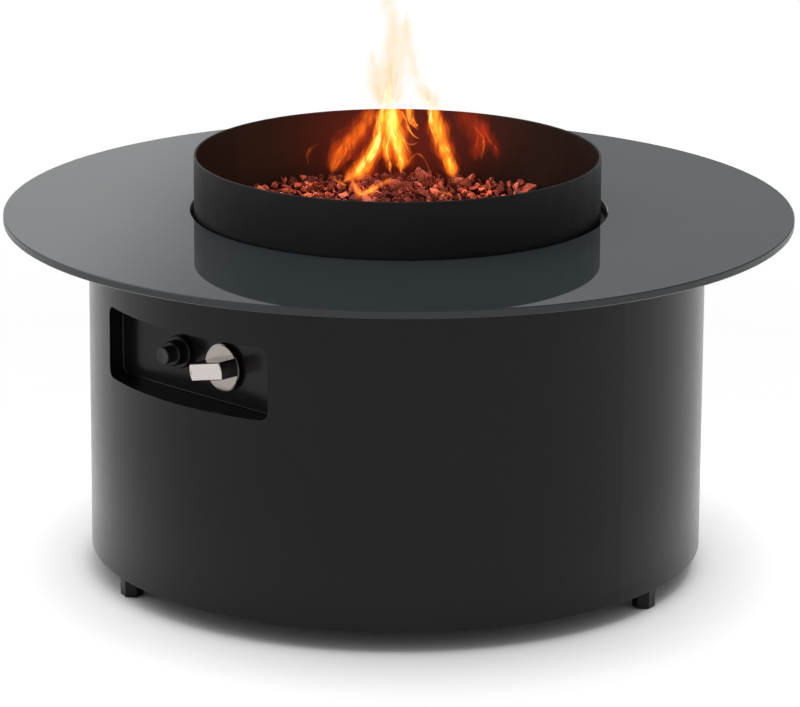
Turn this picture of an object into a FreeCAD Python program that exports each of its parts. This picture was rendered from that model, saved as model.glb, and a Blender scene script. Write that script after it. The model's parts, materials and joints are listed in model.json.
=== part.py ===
import FreeCAD, Part
import math
import os

# Gas fire pit table. Millimetres, +Z up, origin on the floor under the middle of the drum.
# -Y faces the control recess. Angles are counted from -Y towards +X, seen from above.

UP = FreeCAD.Vector(0, 0, 1)
DOWN = FreeCAD.Vector(0, 0, -1)
OUT = FreeCAD.Vector(0, -1, 0)
BACK = FreeCAD.Vector(0, 1, 0)
RIGHT = FreeCAD.Vector(1, 0, 0)

# How far a cutter reaches past the face it opens
overcut = 1.0
# Radial gap of every running fit
running_gap = 0.05

# Table and drum
table_height = 369.0
glass_diameter = 800.0
glass_thickness = 8.0
glass_hole_gap = 5.0
glass_edge_bevel = 1.0
glass_shift = 1.7
glass_shift_angle = 135.0
drum_diameter = 625.0
drum_sheet = 1.5
drum_edge_radius = 0.7
ground_gap = 22.0
ring_sheet = 1.5
top_ring_width = 28.0
bottom_ring_width = 26.0

# Screws of the deck and the bowl, with their nuts
screw_diameter = 5.0
screw_hole_diameter = 5.5
screw_head_diameter = 9.0
screw_head_height = 2.0
screw_head_bevel = 0.7
screw_socket_flats = 4.0
screw_socket_depth = 1.2
screw_spare = 6.0
screw_nut_flats = 8.0
screw_nut_height = 4.0

# Deck between drum and glass
deck_diameter = 612.0
deck_sheet = 1.5
deck_hole_gap = 2.0
deck_screw_count = 6
deck_screw_circle = 592.0
deck_screw_start = 30.0
bumper_count = 6
bumper_diameter = 18.0
bumper_height = 5.0
bumper_edge_radius = 0.6
bumper_circle = 524.0

# Fire bowl
bowl_diameter = 412.0
bowl_rise = 57.0
bowl_depth = 126.0
bowl_wall = 2.5
bowl_floor_sheet = 2.0
bowl_flange_width = 20.0
bowl_flange_sheet = 2.0
bowl_rim_radius = 1.0
bowl_screw_count = 4
bowl_screw_start = 0.0
drain_hole_count = 8
drain_hole_diameter = 8.0
drain_hole_circle = 352.0

# Lava rock
rock_depth = 59.0
rock_wall_gap = 0.5
rock_clearance = 0.5
stone_spacing = 14.4
stone_size = 21.0
stone_sink = 5.0
stone_thinnest = 0.62
stone_crown = 0.5
stone_waves = (1.7, 2.9, 4.3)
stone_tilt = 9.0
stone_turn = 71.0
golden_angle = 137.508

# Heat shield
shield_diameter = 370.0
shield_sheet = 1.0
shield_gap = 23.0
shield_mouth_diameter = 44.0
shield_stud_count = 4
shield_stud_circle = 300.0
shield_stud_diameter = 5.0
shield_stud_spare = 8.0
shield_stud_gap = 0.25
shield_slot_depth = 32.0
shield_spacer_diameter = 10.0
shield_spacer_gap = 0.1

# Burner
burner_diameter = 220.0
burner_tube = 18.0
burner_wall = 1.5
burner_lift = 12.0
burner_hub_diameter = 30.0
burner_hub_height = 26.0
burner_neck_diameter = 20.0
burner_neck_wall = 3.0
burner_neck_reach = 20.0
burner_neck_gap = 0.5
burner_nut_flats = 32.0
burner_nut_height = 5.0
burner_port_count = 36
burner_port_diameter = 2.0
saddle_count = 4
saddle_sheet = 2.0
saddle_width = 30.0
saddle_foot = 14.0
saddle_start = 45.0
saddle_gap = 1.0

# Air mixer and gas jet
mixer_wall = 1.5
mixer_length = 52.0
mixer_overlap = 10.0
mixer_port_diameter = 9.0
mixer_port_level = 14.0
jet_block = 18.0
jet_block_corner = 3.0
jet_collar_height = 3.0
jet_bore_diameter = 6.0
jet_boss_diameter = 13.0
jet_boss_length = 6.0
jet_thread_length = 4.0
jet_neck_length = 3.5
jet_hex_flats = 6.0
jet_hex_height = 3.0
jet_hole_diameter = 1.2

# Control window and tray
window_width = 226.5
window_height = 73.1
window_drop = 54.1
window_corner = 9.0
tray_sheet = 1.2
tray_reveal = 1.2
tray_flange = 14.0
tray_fold_radius = 1.6
panel_offset = 272.0
tray_stud_diameter = 4.0
tray_stud_inset = 7.0
tray_stud_length = 8.0
tray_stud_gap = 0.3
stud_nut_flats = 7.0
stud_nut_height = 3.2
stud_nut_gap = 0.05

# Knob, placed from the panel's front face
knob_x = 34.5
knob_up = 35.5
knob_diameter = 45.6
knob_gap = 3.5
knob_disc = 2.6
knob_lip = 0.8
knob_height = 24.5
knob_bar_width = 17.4
knob_bevel = 0.9
knob_rest_angle = 103.0
pointer_length = 3.0
pointer_width = 0.8
pointer_depth = 0.3
pointer_inset = 2.6

# Valve stem and its spring
stem_diameter = 8.0
stem_flat = 2.6
stem_flat_start = 5.0
stem_reach = 20.0
stem_tail_diameter = 6.0
stem_tail_depth = 12.0
stem_shoulder = 0.8
stem_shoulder_diameter = 10.4
stem_collar_height = 2.0
stem_collar_gap = 0.3
stem_spring_radius = 6.0
stem_spring_wire = 1.0
stem_spring_turns = 4
spring_end_gap = 0.1
knob_travel = 3.0

# Gas valve
bonnet_diameter = 22.0
bonnet_wall = 2.5
bonnet_depth = 15.0
bonnet_cap = 1.8
bonnet_hole_gap = 0.3
valve_width = 26.0
valve_height = 36.0
valve_length = 35.8
valve_corner = 2.5
valve_plate = 3.0
valve_plate_width = 48.0
valve_plate_height = 24.0
valve_plate_corner = 5.0
valve_stud_spacing = 36.0
valve_stud_length = 10.0
valve_stud_gap = 0.2
valve_port_length = 9.0
valve_port_offset = 9.0
valve_inlet_flats = 19.0
outlet_boss_diameter = 15.0
thermo_boss_diameter = 13.0
thermo_boss_length = 16.0
guide_play = 1.0

# Igniter
igniter_x = -27.5
igniter_up = 39.2
bezel_diameter = 33.0
bezel_depth = 6.4
bezel_bevel = 0.8
barrel_diameter = 22.0
barrel_length = 60.0
barrel_hole_gap = 0.2
locknut_flats = 28.0
locknut_height = 6.0
terminal_diameter = 8.0
terminal_length = 6.0
cap_diameter = 25.0
cap_depth = 10.1
cap_bevel = 1.2
cap_lip_wall = 5.5
cap_thread_diameter = 21.0
cap_thread_length = 7.4
button_diameter = 17.0
button_reach = 10.5
button_edge_radius = 0.8
button_lip = 0.7
button_lip_depth = 2.9
button_dish = 0.6
button_dish_radius = 6.0
igniter_spring_radius = 4.5
igniter_spring_wire = 0.8
igniter_spring_turns = 3
battery_diameter = 14.2
battery_length = 50.0
battery_gap = 0.2
battery_play = 1.0
battery_tip = 1.0
battery_tip_diameter = 5.6

# Feet
foot_circle = 594.0
foot_start = -18.5
foot_count = 3
foot_names = ("left", "right", "rear")
glide_flats = 20.0
glide_height = 21.6
glide_bevel = 1.5
glide_top_bevel = 0.5
foot_stud_diameter = 8.0
foot_stud_length = 46.0
foot_stud_seat = 12.0
foot_stud_bevel = 0.8
foot_hole_gap = 0.5
foot_nut_flats = 13.0
foot_nut_height = 8.0

# Gas inlet
inlet_height = 62.0
inlet_thread_diameter = 13.16
inlet_thread_length = 12.0
inlet_thread_bevel = 1.0
inlet_bore_diameter = 8.0
inlet_flats = 19.0
inlet_hex_depth = 6.0
inlet_seat_gap = 0.2
inlet_nut_height = 5.0
inlet_tail_length = 20.0

# Supply hose; the route is a list of angles and heights under the inlet
elbow_block = 18.0
elbow_corner = 3.0
elbow_boss_diameter = 14.0
elbow_boss_length = 6.0
hose_diameter = 11.0
hose_end_length = 22.0
hose_end_flats = 17.0
ferrule_wall = 1.5
ferrule_length = 12.0
hose_lane = 22.0
hose_first_run = 53.0
hose_route = ((147.0, 2.0), (122.0, 6.0), (97.0, 8.0), (73.0, 5.0), (50.0, 0.0))
hose_climb = ((96.0, 4.0, 10.0), (26.0, 2.0, 44.0))
hose_last_run = 46.0
clip_sheet = 1.5
clip_band = 1.2
clip_width = 12.0
clip_tab = 24.0
clip_sink = 0.5
clip_tab_gap = 0.1

# Burner pipe
pipe_diameter = 8.0
pipe_nut_flats = 15.0
pipe_nut_length = 12.0
pipe_run = 52.0

# Pilot
pilot_gap = 0.5
pilot_spread = 12.0
pilot_hood_width = 54.0
pilot_hood_depth = 30.0
pilot_hood_height = 50.0
pilot_hood_sheet = 1.0
pilot_hood_gap = 0.8
pilot_vent_count = 4
pilot_vent_pitch = 10.0
pilot_vent_width = 38.0
pilot_vent_height = 3.0
pilot_slot_width = 40.0
pilot_slot_depth = 16.0
shelf_sheet = 1.5
shelf_level = 16.0
shelf_width = 50.0
shelf_depth = 24.0
insulator_diameter = 6.0
insulator_length = 42.0
insulator_drop = 10.0
insulator_collar_diameter = 9.0
insulator_collar_height = 4.0
electrode_diameter = 2.0
electrode_length = 52.0
electrode_drop = 14.0
thermo_diameter = 5.0
thermo_length = 44.0
thermo_drop = 12.0
thermo_end_radius = 1.5
thermo_nut_flats = 8.0
thermo_nut_height = 4.0
port_nut_flats = 12.0
port_nut_height = 8.0
lead_diameter = 2.5
lead_run = 22.0
lead_rise = 26.0
wire_diameter = 3.0
wire_run = 24.0
wire_rise = 28.0
slack_side = 4.0
slack_drop = 7.0

# Derived levels and radii
glass_hole_diameter = bowl_diameter + 2 * glass_hole_gap
glass_under = table_height - glass_thickness
deck_top = glass_under - bumper_height
drum_top = deck_top - deck_sheet
rim_top = table_height + bowl_rise
bowl_bottom = rim_top - bowl_depth
bowl_floor = bowl_bottom + bowl_floor_sheet
drum_radius = drum_diameter / 2
drum_inner = drum_radius - drum_sheet
bowl_radius = bowl_diameter / 2
bowl_inner = bowl_radius - bowl_wall
deck_mouth = bowl_radius + deck_hole_gap
bowl_screw_circle = bowl_diameter + bowl_flange_width + deck_hole_gap
shield_bottom = bowl_bottom - shield_gap - shield_sheet
bed_top = bowl_floor + rock_depth - stone_size / 3
burner_level = bowl_floor + burner_lift + burner_tube / 2
pilot_radius = (burner_diameter + burner_tube + pilot_hood_depth) / 2 + pilot_gap
mixer_top = bowl_bottom - burner_neck_reach + mixer_overlap
mixer_bottom = mixer_top - mixer_length
jet_level = mixer_bottom - jet_block / 2
window_top = drum_top - window_drop
window_bottom = window_top - window_height
knob_z = window_bottom + knob_up
igniter_z = window_bottom + igniter_up
valve_front = -tray_sheet - valve_plate
valve_rear = valve_front - valve_length
shoulder_front = -bonnet_cap - running_gap
shoulder_back = shoulder_front - stem_shoulder
collar_back = shoulder_back - stem_collar_height - running_gap
cap_front = bezel_depth + cap_depth
thread_end = bezel_depth - cap_thread_length
lip_front = cap_front - cap_lip_wall
battery_front = thread_end - battery_play


def polar(radius, angle, z=0.0):
    turn = math.radians(angle)
    return FreeCAD.Vector(radius * math.sin(turn), -radius * math.cos(turn), z)


def around(count, start=0.0):
    return [start + 360.0 * k / count for k in range(count)]


def cylinder(diameter, length, base, direction=UP):
    return Part.makeCylinder(diameter / 2, length, base, direction)


def bore(diameter, length, base, direction=UP):
    return cylinder(diameter, length + 2 * overcut, base - direction * overcut, direction)


def ring(outer, inner, length, base, direction=UP):
    return cylinder(outer, length, base, direction).cut(bore(inner, length, base, direction))


def box(low, high):
    size = high - low
    return Part.makeBox(size.x, size.y, size.z, low)


def centred_box(middle, x, y, z):
    half = FreeCAD.Vector(x / 2, y / 2, z / 2)
    return box(middle - half, middle + half)


def hexagon(flats, height, base, direction=UP, turn=0.0):
    corner = flats / math.sqrt(3)
    points = []
    for k in range(7):
        angle = math.radians(60 * k + turn)
        points.append(FreeCAD.Vector(corner * math.cos(angle), corner * math.sin(angle), 0))
    prism = Part.Face(Part.makePolygon(points)).extrude(UP * height)
    prism.Placement = FreeCAD.Placement(base, FreeCAD.Rotation(UP, direction))
    return prism


def hex_chamfer(flats, height, base, direction):
    corner = flats / math.sqrt(3)
    slope = (corner - flats / 2) / math.sqrt(3)
    middle = cylinder(2 * corner, height - 2 * slope, base + direction * slope, direction)
    low = Part.makeCone(flats / 2, corner, slope, base, direction)
    high = Part.makeCone(corner, flats / 2, slope, base + direction * (height - slope), direction)
    return middle.fuse([low, high])


def hex_nut(flats, height, hole, base, direction=UP, turn=0.0):
    nut = hexagon(flats, height, base, direction, turn)
    nut = nut.common(hex_chamfer(flats, height, base, direction))
    return nut.cut(bore(hole, height, base, direction))


def plane_edges(shape, point, direction, tolerance=0.01):
    found = []
    for edge in shape.Edges:
        middle = (edge.FirstParameter + edge.LastParameter) / 2
        spots = [edge.valueAt(edge.FirstParameter), edge.valueAt(middle), edge.valueAt(edge.LastParameter)]
        if all(abs((spot - point).dot(direction)) < tolerance for spot in spots):
            found.append(edge)
    return found


def bevel(shape, point, direction, size):
    return shape.makeChamfer(size, plane_edges(shape, point, direction))


def rounded(shape, point, direction, radius):
    return shape.makeFillet(radius, plane_edges(shape, point, direction))


def rounded_along(block, direction, radius):
    edges = [edge for edge in block.Edges if abs(edge.tangentAt(edge.FirstParameter).dot(direction)) > 0.99]
    return block.makeFillet(radius, edges)


def window_prism(grow, near, far):
    width = window_width + 2 * grow
    low = FreeCAD.Vector(-width / 2, near, window_bottom - grow)
    high = FreeCAD.Vector(width / 2, far, window_top + grow)
    return rounded_along(box(low, high), BACK, window_corner + grow)


def tube_path(points, name):
    runs = [b - a for a, b in zip(points, points[1:])]
    edges = []
    start = points[0]
    for before, corner, after in zip(runs, points[1:], runs[1:]):
        half_turn = before.getAngle(after) / 2
        trim = 0.45 * min(before.Length, after.Length)
        radius = trim / math.tan(half_turn)
        print("%s bend %.0f degrees, radius %.1f" % (name, math.degrees(2 * half_turn), radius))
        enter = corner - before / before.Length * trim
        leave = corner + after / after.Length * trim
        inward = (enter + leave) / 2 - corner
        crown = radius / math.cos(half_turn) - radius
        middle = corner + inward / inward.Length * crown
        edges.append(Part.LineSegment(start, enter).toShape())
        edges.append(Part.Arc(enter, middle, leave).toShape())
        start = leave
    edges.append(Part.LineSegment(start, points[-1]).toShape())
    return Part.Wire(edges)


def tube(points, diameter, name):
    path = tube_path(points, name)
    heading = points[1] - points[0]
    section = Part.Wire(Part.makeCircle(diameter / 2, points[0], heading))
    solid = path.makePipeShell([section], True, False)
    expected = path.Length * math.pi * diameter ** 2 / 4
    print("%s length %.1f, volume ratio %.4f" % (name, path.Length, solid.Volume / expected))
    return solid


def coil_spring(radius, wire, turns, start, length):
    pitch = length / turns
    edges = []
    for k in range(2 * turns):
        side = 1 if k % 2 == 0 else -1
        low = start + OUT * (k * pitch / 2) + RIGHT * (radius * side)
        high = start + OUT * ((k + 1) * pitch / 2) - RIGHT * (radius * side)
        middle = (low + high) / 2 + UP * (radius * side)
        edges.append(Part.Arc(low, middle, high).toShape())
    path = Part.Wire(edges)
    section = Part.Wire(Part.makeCircle(wire / 2, start + RIGHT * radius, UP))
    return path.makePipeShell([section], True, False)


def save(name, *solids):
    shape = solids[0] if len(solids) == 1 else Part.makeCompound(list(solids))
    shape.exportStep("parts/%s.step" % name)


def panel_point(x, z, out):
    return FreeCAD.Vector(x, -panel_offset - out, z)


def knob_point(out):
    return panel_point(knob_x, knob_z, out)


def igniter_point(out):
    return panel_point(igniter_x, igniter_z, out)


def valve_stud_points(out):
    return [knob_point(out) + RIGHT * (side * valve_stud_spacing / 2) for side in (-1, 1)]


def tray_stud_points():
    reach = window_width / 2 + tray_reveal + tray_stud_inset
    angle = math.degrees(math.asin(reach / drum_inner))
    margin = tray_reveal + tray_stud_inset
    levels = (window_bottom - margin, window_top + margin)
    return [(side * angle, z) for side in (-1, 1) for z in levels]


def screw_holes(circle, angles, level, sheet):
    return [bore(screw_hole_diameter, sheet, polar(circle / 2, angle, level)) for angle in angles]


def deck_screw_angles():
    return around(deck_screw_count, deck_screw_start)


def bowl_screw_angles():
    return around(bowl_screw_count, bowl_screw_start)


def shield_stud_angles():
    return around(shield_stud_count, 180.0 / shield_stud_count)


def foot_angles():
    return around(foot_count, foot_start)


def make_base_shell():
    low = polar(0, 0, ground_gap)
    high = polar(0, 0, drum_top)
    shell = ring(drum_diameter, 2 * drum_inner, drum_top - ground_gap, low)
    shell = rounded(rounded(shell, low, UP, drum_edge_radius), high, UP, drum_edge_radius)
    window = window_prism(0, -drum_diameter, -drum_radius / 2)
    inlet = cylinder(inlet_thread_diameter + 2 * running_gap, drum_radius, polar(0, 0, inlet_height), BACK)
    shell = shell.cut([window, inlet])
    studs = []
    for angle, z in tray_stud_points():
        foot = polar(drum_inner + drum_sheet / 2, angle, z)
        studs.append(cylinder(tray_stud_diameter, tray_stud_length + drum_sheet / 2, foot, polar(-1, angle)))
    return shell.fuse(studs)


def make_top_ring():
    level = drum_top - ring_sheet
    plate = ring(2 * drum_inner, drum_diameter - 2 * top_ring_width, ring_sheet, polar(0, 0, level))
    return plate.cut(screw_holes(deck_screw_circle, deck_screw_angles(), level, ring_sheet))


def make_bottom_ring():
    plate = ring(2 * drum_inner, drum_diameter - 2 * bottom_ring_width, ring_sheet, polar(0, 0, ground_gap))
    hole = foot_stud_diameter + 2 * foot_hole_gap
    spots = [polar(foot_circle / 2, angle, ground_gap) for angle in foot_angles()]
    return plate.cut([bore(hole, ring_sheet, spot) for spot in spots])


def make_control_tray():
    front = -drum_radius
    back = -panel_offset + tray_sheet
    outer = window_prism(tray_reveal + tray_sheet, front, back)
    inner = window_prism(tray_reveal, front - overcut, -panel_offset)
    inner = rounded(inner, panel_point(0, 0, 0), OUT, tray_fold_radius)
    low = polar(0, 0, window_bottom - window_height)
    drum_bore = cylinder(2 * drum_inner, 3 * window_height, low)
    flange = ring(2 * drum_inner, 2 * (drum_inner - tray_sheet), 3 * window_height, low)
    flange = flange.common(window_prism(tray_reveal + tray_flange, front, back))
    tray = outer.common(drum_bore).fuse(flange).cut(inner)
    depth = 2 * tray_sheet
    holes = [bore(bonnet_diameter + 2 * bonnet_hole_gap, depth, knob_point(-depth), OUT)]
    holes.append(bore(barrel_diameter + 2 * barrel_hole_gap, depth, igniter_point(-depth), OUT))
    for angle, z in tray_stud_points():
        spot = polar(drum_inner, angle, z)
        holes.append(bore(tray_stud_diameter + 2 * tray_stud_gap, tray_stud_length, spot, polar(-1, angle)))
    tray = tray.cut(holes)
    feet = valve_stud_points(-tray_sheet)
    return tray.fuse([cylinder(tray_stud_diameter, valve_stud_length, foot, BACK) for foot in feet])


def make_tray_nuts():
    nuts = []
    for angle, z in tray_stud_points():
        seat = polar(drum_inner - tray_sheet - stud_nut_gap, angle, z)
        nuts.append(hex_nut(stud_nut_flats, stud_nut_height, tray_stud_diameter, seat, polar(-1, angle)))
    return nuts


def make_deck_plate():
    deck = ring(deck_diameter, 2 * deck_mouth, deck_sheet, polar(0, 0, drum_top))
    holes = screw_holes(deck_screw_circle, deck_screw_angles(), drum_top, deck_sheet)
    holes += screw_holes(bowl_screw_circle, bowl_screw_angles(), drum_top, deck_sheet)
    return deck.cut(holes)


def make_screw(seat, length):
    top = seat + UP * screw_head_height
    head = bevel(cylinder(screw_head_diameter, screw_head_height, seat), top, UP, screw_head_bevel)
    socket = hexagon(screw_socket_flats, screw_socket_depth, top, DOWN)
    return head.fuse(cylinder(screw_diameter, length, seat, DOWN)).cut(socket)


def screws_and_nuts(circle, angles, seat_level, stack):
    screws = []
    nuts = []
    for angle in angles:
        seat = polar(circle / 2, angle, seat_level)
        screws.append(make_screw(seat, stack + screw_spare))
        nuts.append(hex_nut(screw_nut_flats, screw_nut_height, screw_diameter, seat + DOWN * stack, DOWN))
    return screws, nuts


def make_fire_bowl():
    wall = ring(bowl_diameter, 2 * bowl_inner, bowl_depth, polar(0, 0, bowl_bottom))
    wall = rounded(wall, polar(0, 0, rim_top), UP, bowl_rim_radius)
    seam = bowl_diameter - bowl_wall
    floor = cylinder(seam, bowl_floor_sheet, polar(0, 0, bowl_bottom))
    flange = ring(bowl_diameter + 2 * bowl_flange_width, seam, bowl_flange_sheet, polar(0, 0, deck_top))
    bowl = wall.fuse([floor, flange])
    neck = burner_neck_diameter + 2 * burner_neck_gap
    holes = [bore(neck, bowl_floor_sheet, polar(0, 0, bowl_bottom))]
    for angle in around(drain_hole_count, 180.0 / drain_hole_count):
        spot = polar(drain_hole_circle / 2, angle, bowl_bottom)
        holes.append(bore(drain_hole_diameter, bowl_floor_sheet, spot))
    holes += screw_holes(bowl_screw_circle, bowl_screw_angles(), deck_top, bowl_flange_sheet)
    slot = polar(pilot_radius, 0, bowl_bottom)
    holes.append(centred_box(slot, pilot_slot_width, pilot_slot_depth, 4 * bowl_floor_sheet))
    bowl = bowl.cut(holes)
    studs = []
    length = bowl_floor_sheet / 2 + shield_gap + shield_sheet + shield_stud_spare
    for angle in shield_stud_angles():
        foot = polar(shield_stud_circle / 2, angle, bowl_bottom + bowl_floor_sheet / 2)
        studs.append(cylinder(shield_stud_diameter, length, foot, DOWN))
    return bowl.fuse(studs)


def make_heat_shield():
    shield = cylinder(shield_diameter, shield_sheet, polar(0, 0, shield_bottom))
    holes = [bore(shield_mouth_diameter, shield_sheet, polar(0, 0, shield_bottom))]
    for angle in shield_stud_angles():
        spot = polar(shield_stud_circle / 2, angle, shield_bottom)
        holes.append(bore(shield_stud_diameter + 2 * shield_stud_gap, shield_sheet, spot))
    slot = polar(pilot_radius, 0, shield_bottom)
    holes.append(centred_box(slot, pilot_slot_width, shield_slot_depth, 4 * shield_sheet))
    return shield.cut(holes)


def make_shield_fixings():
    spacers = []
    nuts = []
    hole = shield_stud_diameter + 2 * shield_spacer_gap
    for angle in shield_stud_angles():
        top = polar(shield_stud_circle / 2, angle, bowl_bottom)
        seat = polar(shield_stud_circle / 2, angle, shield_bottom)
        spacers.append(ring(shield_spacer_diameter, hole, shield_gap, top, DOWN))
        nuts.append(hex_nut(screw_nut_flats, screw_nut_height, shield_stud_diameter, seat, DOWN))
    return spacers, nuts


def burner_loop(grow):
    return Part.makeTorus(burner_diameter / 2, burner_tube / 2 + grow, polar(0, 0, burner_level), UP)


def burner_feed(grow):
    start = polar(0, 0, burner_level) - RIGHT * (burner_diameter / 2)
    return cylinder(burner_tube + 2 * grow, burner_diameter, start, RIGHT)


def make_burner_ring():
    hub_base = polar(0, 0, burner_level - burner_hub_height / 2)
    hub = cylinder(burner_hub_diameter, burner_hub_height, hub_base)
    neck_base = polar(0, 0, bowl_bottom - burner_neck_reach)
    neck = cylinder(burner_neck_diameter, burner_level - neck_base.z, neck_base)
    solid = burner_loop(0).fuse([burner_feed(0), hub, neck])
    throat = burner_neck_diameter - 2 * burner_neck_wall
    neck_bore = cylinder(throat, burner_level - neck_base.z + overcut, neck_base - UP * overcut)
    cuts = [burner_loop(-burner_wall), burner_feed(-burner_wall), neck_bore]
    for angle in around(burner_port_count, 180.0 / burner_port_count):
        spot = polar(burner_diameter / 2, angle, burner_level)
        cuts.append(cylinder(burner_port_diameter, burner_tube, spot))
    return solid.cut(cuts)


def make_burner_saddles():
    reach = burner_diameter / 2
    saddles = []
    for angle in around(saddle_count, saddle_start):
        low = FreeCAD.Vector(reach - saddle_width / 2, -saddle_sheet / 2, bowl_floor)
        plate = box(low, low + FreeCAD.Vector(saddle_width, saddle_sheet, burner_level - bowl_floor))
        foot = box(low, low + FreeCAD.Vector(saddle_width, saddle_foot, saddle_sheet))
        saddle = plate.fuse(foot)
        saddle.rotate(FreeCAD.Vector(0, 0, 0), UP, angle - 90)
        saddles.append(saddle.cut(burner_loop(0)))
    return saddles


def make_air_mixer():
    base = polar(0, 0, mixer_bottom)
    socket = burner_neck_diameter + 2 * running_gap
    outer = cylinder(socket + 2 * mixer_wall, mixer_length, base)
    cuts = [cylinder(socket, mixer_overlap + overcut, polar(0, 0, mixer_top - mixer_overlap))]
    cuts.append(bore(burner_neck_diameter - 2 * mixer_wall, mixer_length, base))
    for direction in (RIGHT, BACK):
        start = base + UP * mixer_port_level - direction * burner_neck_diameter
        cuts.append(cylinder(mixer_port_diameter, 2 * burner_neck_diameter, start, direction))
    return outer.cut(cuts)


def make_jet_elbow():
    middle = polar(0, 0, jet_level)
    block = rounded_along(centred_box(middle, jet_block, jet_block, jet_block), UP, jet_block_corner)
    collar_diameter = burner_neck_diameter - 2 * mixer_wall - 2 * running_gap
    collar = cylinder(collar_diameter, jet_collar_height, polar(0, 0, mixer_bottom))
    boss = cylinder(jet_boss_diameter, jet_boss_length, middle + OUT * (jet_block / 2), OUT)
    elbow = block.fuse([collar, boss])
    return elbow.cut([cylinder(jet_bore_diameter, jet_block, middle, way) for way in (UP, OUT)])


def make_jet():
    seat = polar(0, 0, mixer_bottom)
    shank = cylinder(jet_bore_diameter, jet_thread_length + jet_neck_length, seat - UP * jet_thread_length)
    head = hexagon(jet_hex_flats, jet_hex_height, seat + UP * jet_neck_length)
    height = jet_thread_length + jet_neck_length + jet_hex_height
    return shank.fuse(head).cut(bore(jet_hole_diameter, height, seat - UP * jet_thread_length))


def make_stone(index):
    thicker = 1 - stone_thinnest
    sides = [stone_size * (stone_thinnest + thicker * math.sin(index * wave) ** 2) for wave in stone_waves]
    x, height, z = sides[0] / 2, sides[1], sides[2] / 2
    top_x, top_z = stone_crown * x, stone_crown * z
    stone = Part.makeWedge(-x, 0, -z, -top_z, -top_x, x, height, z, top_z, top_x)
    lean = FreeCAD.Rotation(RIGHT, 90 + stone_tilt * math.sin(index))
    spin = FreeCAD.Rotation(UP, stone_turn * index)
    spot = polar(stone_spacing * math.sqrt(index + 0.5), golden_angle * index, bed_top - stone_sink)
    stone.Placement = FreeCAD.Placement(spot, spin.multiply(lean))
    return stone


def make_lava_rocks():
    radius = bowl_inner - rock_wall_gap
    stone_count = int(((radius - stone_size * 0.75) / stone_spacing) ** 2)
    bed = cylinder(2 * radius, bed_top - bowl_floor, polar(0, 0, bowl_floor))
    bed = bed.fuse([make_stone(index) for index in range(stone_count)])
    lift = burner_level - bowl_floor
    floor = polar(0, 0, bowl_floor)
    under_loop = ring(burner_diameter + burner_tube, burner_diameter - burner_tube, lift, floor)
    hub_height = lift + burner_hub_height / 2 + rock_clearance
    hub = cylinder(burner_hub_diameter + 2 * rock_clearance, hub_height, floor)
    cuts = [burner_loop(rock_clearance), burner_feed(rock_clearance), under_loop, hub]
    for angle in around(saddle_count, saddle_start):
        width = saddle_width + 2 * saddle_gap
        depth = 2 * saddle_foot + 2 * saddle_gap
        pocket = centred_box(RIGHT * (burner_diameter / 2) + floor, width, depth, 2 * lift)
        pocket.rotate(FreeCAD.Vector(0, 0, 0), UP, angle - 90)
        cuts.append(pocket)
    gap = 2 * pilot_hood_gap
    hood = polar(pilot_radius, 0, bowl_floor)
    hood_height = 2 * pilot_hood_height + gap
    cuts.append(centred_box(hood, pilot_hood_width + gap, pilot_hood_depth + gap, hood_height))
    return bed.cut(cuts)


def pilot_points():
    base = polar(pilot_radius, 0, bowl_floor)
    return base - RIGHT * pilot_spread, base + RIGHT * pilot_spread


def make_pilot_hood():
    base = polar(pilot_radius, 0, bowl_floor)
    middle = base + UP * (pilot_hood_height / 2)
    sheet = pilot_hood_sheet
    outer = centred_box(middle, pilot_hood_width, pilot_hood_depth, pilot_hood_height)
    inner = centred_box(middle - UP * sheet, pilot_hood_width - 2 * sheet, pilot_hood_depth - 2 * sheet,
                        pilot_hood_height)
    vents = []
    for k in range(pilot_vent_count):
        level = base + UP * (pilot_vent_pitch * (k + 1))
        vents.append(centred_box(level, pilot_vent_width, 2 * pilot_hood_depth, pilot_vent_height))
    return outer.cut([inner] + vents)


def make_pilot_bracket():
    base = polar(pilot_radius, 0, bowl_floor)
    half = FreeCAD.Vector(shelf_width / 2, shelf_depth / 2, 0)
    top = UP * (shelf_level + shelf_sheet / 2)
    outer = box(base - half, base + half + top)
    hollow = centred_box(base, shelf_width - 2 * shelf_sheet, 2 * shelf_depth, 2 * (top.z - shelf_sheet))
    left, right = pilot_points()
    holes = [cylinder(insulator_diameter, shelf_level + shelf_sheet, left)]
    holes.append(cylinder(thermo_diameter, shelf_level + shelf_sheet, right))
    return outer.cut([hollow] + holes)


def make_electrode():
    left = pilot_points()[0]
    seat = left + UP * (shelf_level + shelf_sheet / 2)
    insulator = ring(insulator_diameter, electrode_diameter, insulator_length, left - UP * insulator_drop)
    collar = ring(insulator_collar_diameter, insulator_diameter, insulator_collar_height, seat)
    rod = cylinder(electrode_diameter, electrode_length, left - UP * electrode_drop)
    return insulator.fuse(collar), rod


def make_thermocouple():
    right = pilot_points()[1]
    start = right - UP * thermo_drop
    tip = cylinder(thermo_diameter, thermo_length, start)
    tip = rounded(tip, start + UP * thermo_length, UP, thermo_end_radius)
    seat = right + UP * (shelf_level + shelf_sheet / 2)
    nut = hex_nut(thermo_nut_flats, thermo_nut_height, thermo_diameter, seat)
    port_nut = hex_nut(port_nut_flats, port_nut_height, lead_diameter, thermo_port(), BACK)
    return tip, nut, port_nut


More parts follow.
